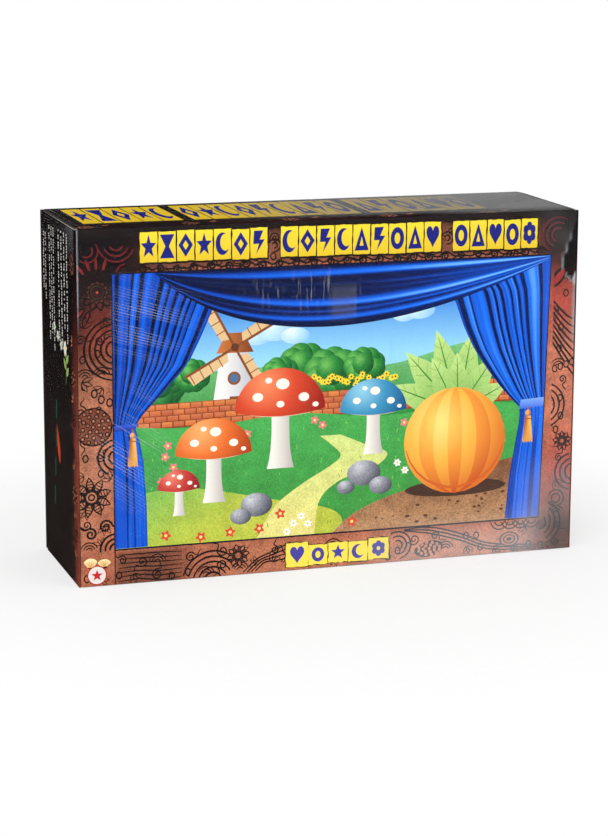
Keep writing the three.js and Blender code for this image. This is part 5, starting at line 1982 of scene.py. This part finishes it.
# %% The root vegetable
BULB = ((0.04, 0.004), (0.09, 0.02), (0.14, 0.06), (0.22, 0.11), (0.38, 0.155), (0.56, 0.21), (0.73, 0.28),
        (0.86, 0.36), (0.95, 0.45), (1.0, 0.56), (1.0, 0.66), (0.95, 0.76), (0.86, 0.85), (0.74, 0.92),
        (0.58, 0.965), (0.4, 0.985), (0.2, 0.98))


def gores(a):
    return -np.exp(-((np.abs((a * 7 / tau) % 1 - 0.5) - 0.5) / 0.09) ** 2) + 0.25 * np.cos(3 * a)


def leaf(lean, long, foot, rows=36, cols=9):
    t, v = np.linspace(0.03, 0.995, rows), np.linspace(-1, 1, cols)
    half = 9.3 * np.sin(pi * t**0.9) ** 0.7 * (1 + 0.06 * np.sin(34 * t)) + 0.4
    tt, vv = np.meshgrid(t, v, indexing="ij")
    thick = 0.35 + 2.5 * np.sqrt(np.clip(1 - vv**2, 0, 1)) * np.sin(pi * tt**0.8) ** 0.6
    thick = thick * (1 - 0.35 * np.exp(-((vv / 0.16) ** 2)))
    thick = thick * (1 - 0.12 * np.cos(26 * tt - 7 * np.abs(vv)))
    s, k = sin(lean), cos(lean)
    turn = np.array([(k, 0, -s), (0, 1, 0), (s, 0, k)])
    sides = (np.stack([half[:, None] * vv, y * thick, long * tt], 2).reshape(-1, 3) @ turn + foot for y in (-1, 1))
    return closed_sheet(*sides, rows, cols)


lo, hi, middle = size_of("root_vegetable_bulb")
radius, high = (hi[0] - lo[0]) / 2 * 0.985, hi[2] - lo[2]
profile = [(0, 0, 0), *((radius * k, high * t, 0.022) for k, t in BULB), (0, high * 0.965, 0)]
bulb = turned(profile, 112, gores, seat=(*middle, lo[2]))
orange = plush("orange plush", (196, 92, 24), (250, 176, 72), 90.0)
soft("root_vegetable_plush", [bulb], orange, "root_vegetable_bulb")
lo, hi, middle = size_of("root_vegetable_leaves")
leaves = [leaf(radians(lean), (hi[2] - lo[2]) * 0.97, (*middle, lo[2] + 0.2)) for lean in (-34, 0, 34)]
felt = plush("green felt leaves", (36, 96, 38), (116, 184, 84), 240.0)
soft("root_vegetable_felt", leaves, felt, "root_vegetable_leaves")


# %% [markdown]
# The script booklet is cream paper. The edges of its pages show as fine lines at its cut sides only.


# %% The booklet
def booklet():
    t = material("booklet paper")
    edge = abs(t.dot(t.at("Normal"), (0.0, 1.0, 0.0))) < 0.5
    shade = t.noise(500.0, 4.0) - edge * t.wave(700.0, 0.5, "Y") * 0.3
    return t.finish(Base_Color=t.two_tone(shade, (188, 178, 152), (246, 238, 216), 0.15, 0.6), Roughness=0.7)


dress(booklet(), "script_booklet")

# %% [markdown]
# The camera stands in front and a little to the left, with a long lens. Its place was fitted to the seven
# corners of the carton that the photograph shows.

# %% Camera
eye = bpy.data.cameras.new("camera")
eye.lens, eye.sensor_width, eye.sensor_fit = 108.15, 36, "AUTO"
eye.dof.use_dof = False
view = linked("camera", eye)
view.location = (-0.5628, -1.7485, 0.4996)
view.rotation_euler = [radians(v) for v in (77.751, -0.227, -17.674)]
bpy.context.scene.camera = view
bpy.context.scene.view_settings.view_transform = "Standard"
print("camera lens:", round(eye.lens, 2), "mm")

# %% [markdown]
# The floor is white near the carton and fades out into the white background, so that only the soft shadow
# at the carton's foot is seen of it.

# %% Floor
floor_mesh = bpy.data.meshes.new("floor")
floor_mesh.from_pydata([(-3, -3, 0), (3, -3, 0), (3, 3, 0), (-3, 3, 0)], [], [(0, 1, 2, 3)])
floor = linked("floor", floor_mesh)
t = material("white paper floor")
away = t.get("ShaderNodeVectorMath", {0: t.at()}, "Value", operation="LENGTH")
seen = t.span(away, 0.2, 0.44, 1.0, 0.0, interpolation_type="SMOOTHSTEP")
white = t.get("ShaderNodeBsdfDiffuse", {"Color": (0.93, 0.93, 0.93, 1)})
bright = t.get("ShaderNodeEmission", {"Color": (1, 1, 1, 1), "Strength": 1.0})
lift = t.get("ShaderNodeLightPath", socket="Is Camera Ray") * 0.62
paper = t.get("ShaderNodeMixShader", {0: lift, 1: white, 2: bright})
clear = t.get("ShaderNodeBsdfTransparent")
t.node("ShaderNodeOutputMaterial", {0: t.get("ShaderNodeMixShader", {0: seen, 1: clear, 2: paper})})
floor_mesh.materials.append(t.material)
print("floor:", t.material.name)


# %% [markdown]
# The photograph was lit from all around on white. A dim white world does most of that; a large soft lamp
# hangs at the upper left, and a weaker one at the right.

# %% World and lamps
world = bpy.data.worlds.new("studio")
bpy.context.scene.world = world
world.use_nodes = True
world.node_tree.nodes.clear()
t = Tree(world.node_tree)
path = t.node("ShaderNodeLightPath").outputs
camera, glossy, through_film = (Wire(t, path["Is " + kind + " Ray"]) for kind in ("Camera", "Glossy", "Transmission"))
direct = t.math("MAXIMUM", camera, t.math("MAXIMUM", glossy, through_film))
dim, clean = (t.get("ShaderNodeBackground", {"Color": (1, 1, 1, 1), "Strength": level}) for level in (0.7, 1.0))
t.node("ShaderNodeOutputWorld", {0: t.get("ShaderNodeMixShader", {0: direct, 1: dim, 2: clean})})


def lamp(name, place, target, size, watts):
    data = bpy.data.lights.new(name, "AREA")
    data.shape, data.size, data.size_y, data.energy = "RECTANGLE", size, size, watts
    obj = linked(name, data)
    obj.location = place
    obj.rotation_euler = (Vector(target) - Vector(place)).to_track_quat("-Z", "Y").to_euler()
    print("lamp", name, watts, "W")


lamp("key", (-1.1, -1.8, 1.4), (0, 0, 0.1), 1.4, 27)
lamp("fill", (1.3, -1.5, 0.8), (0, 0, 0.1), 1.2, 9)
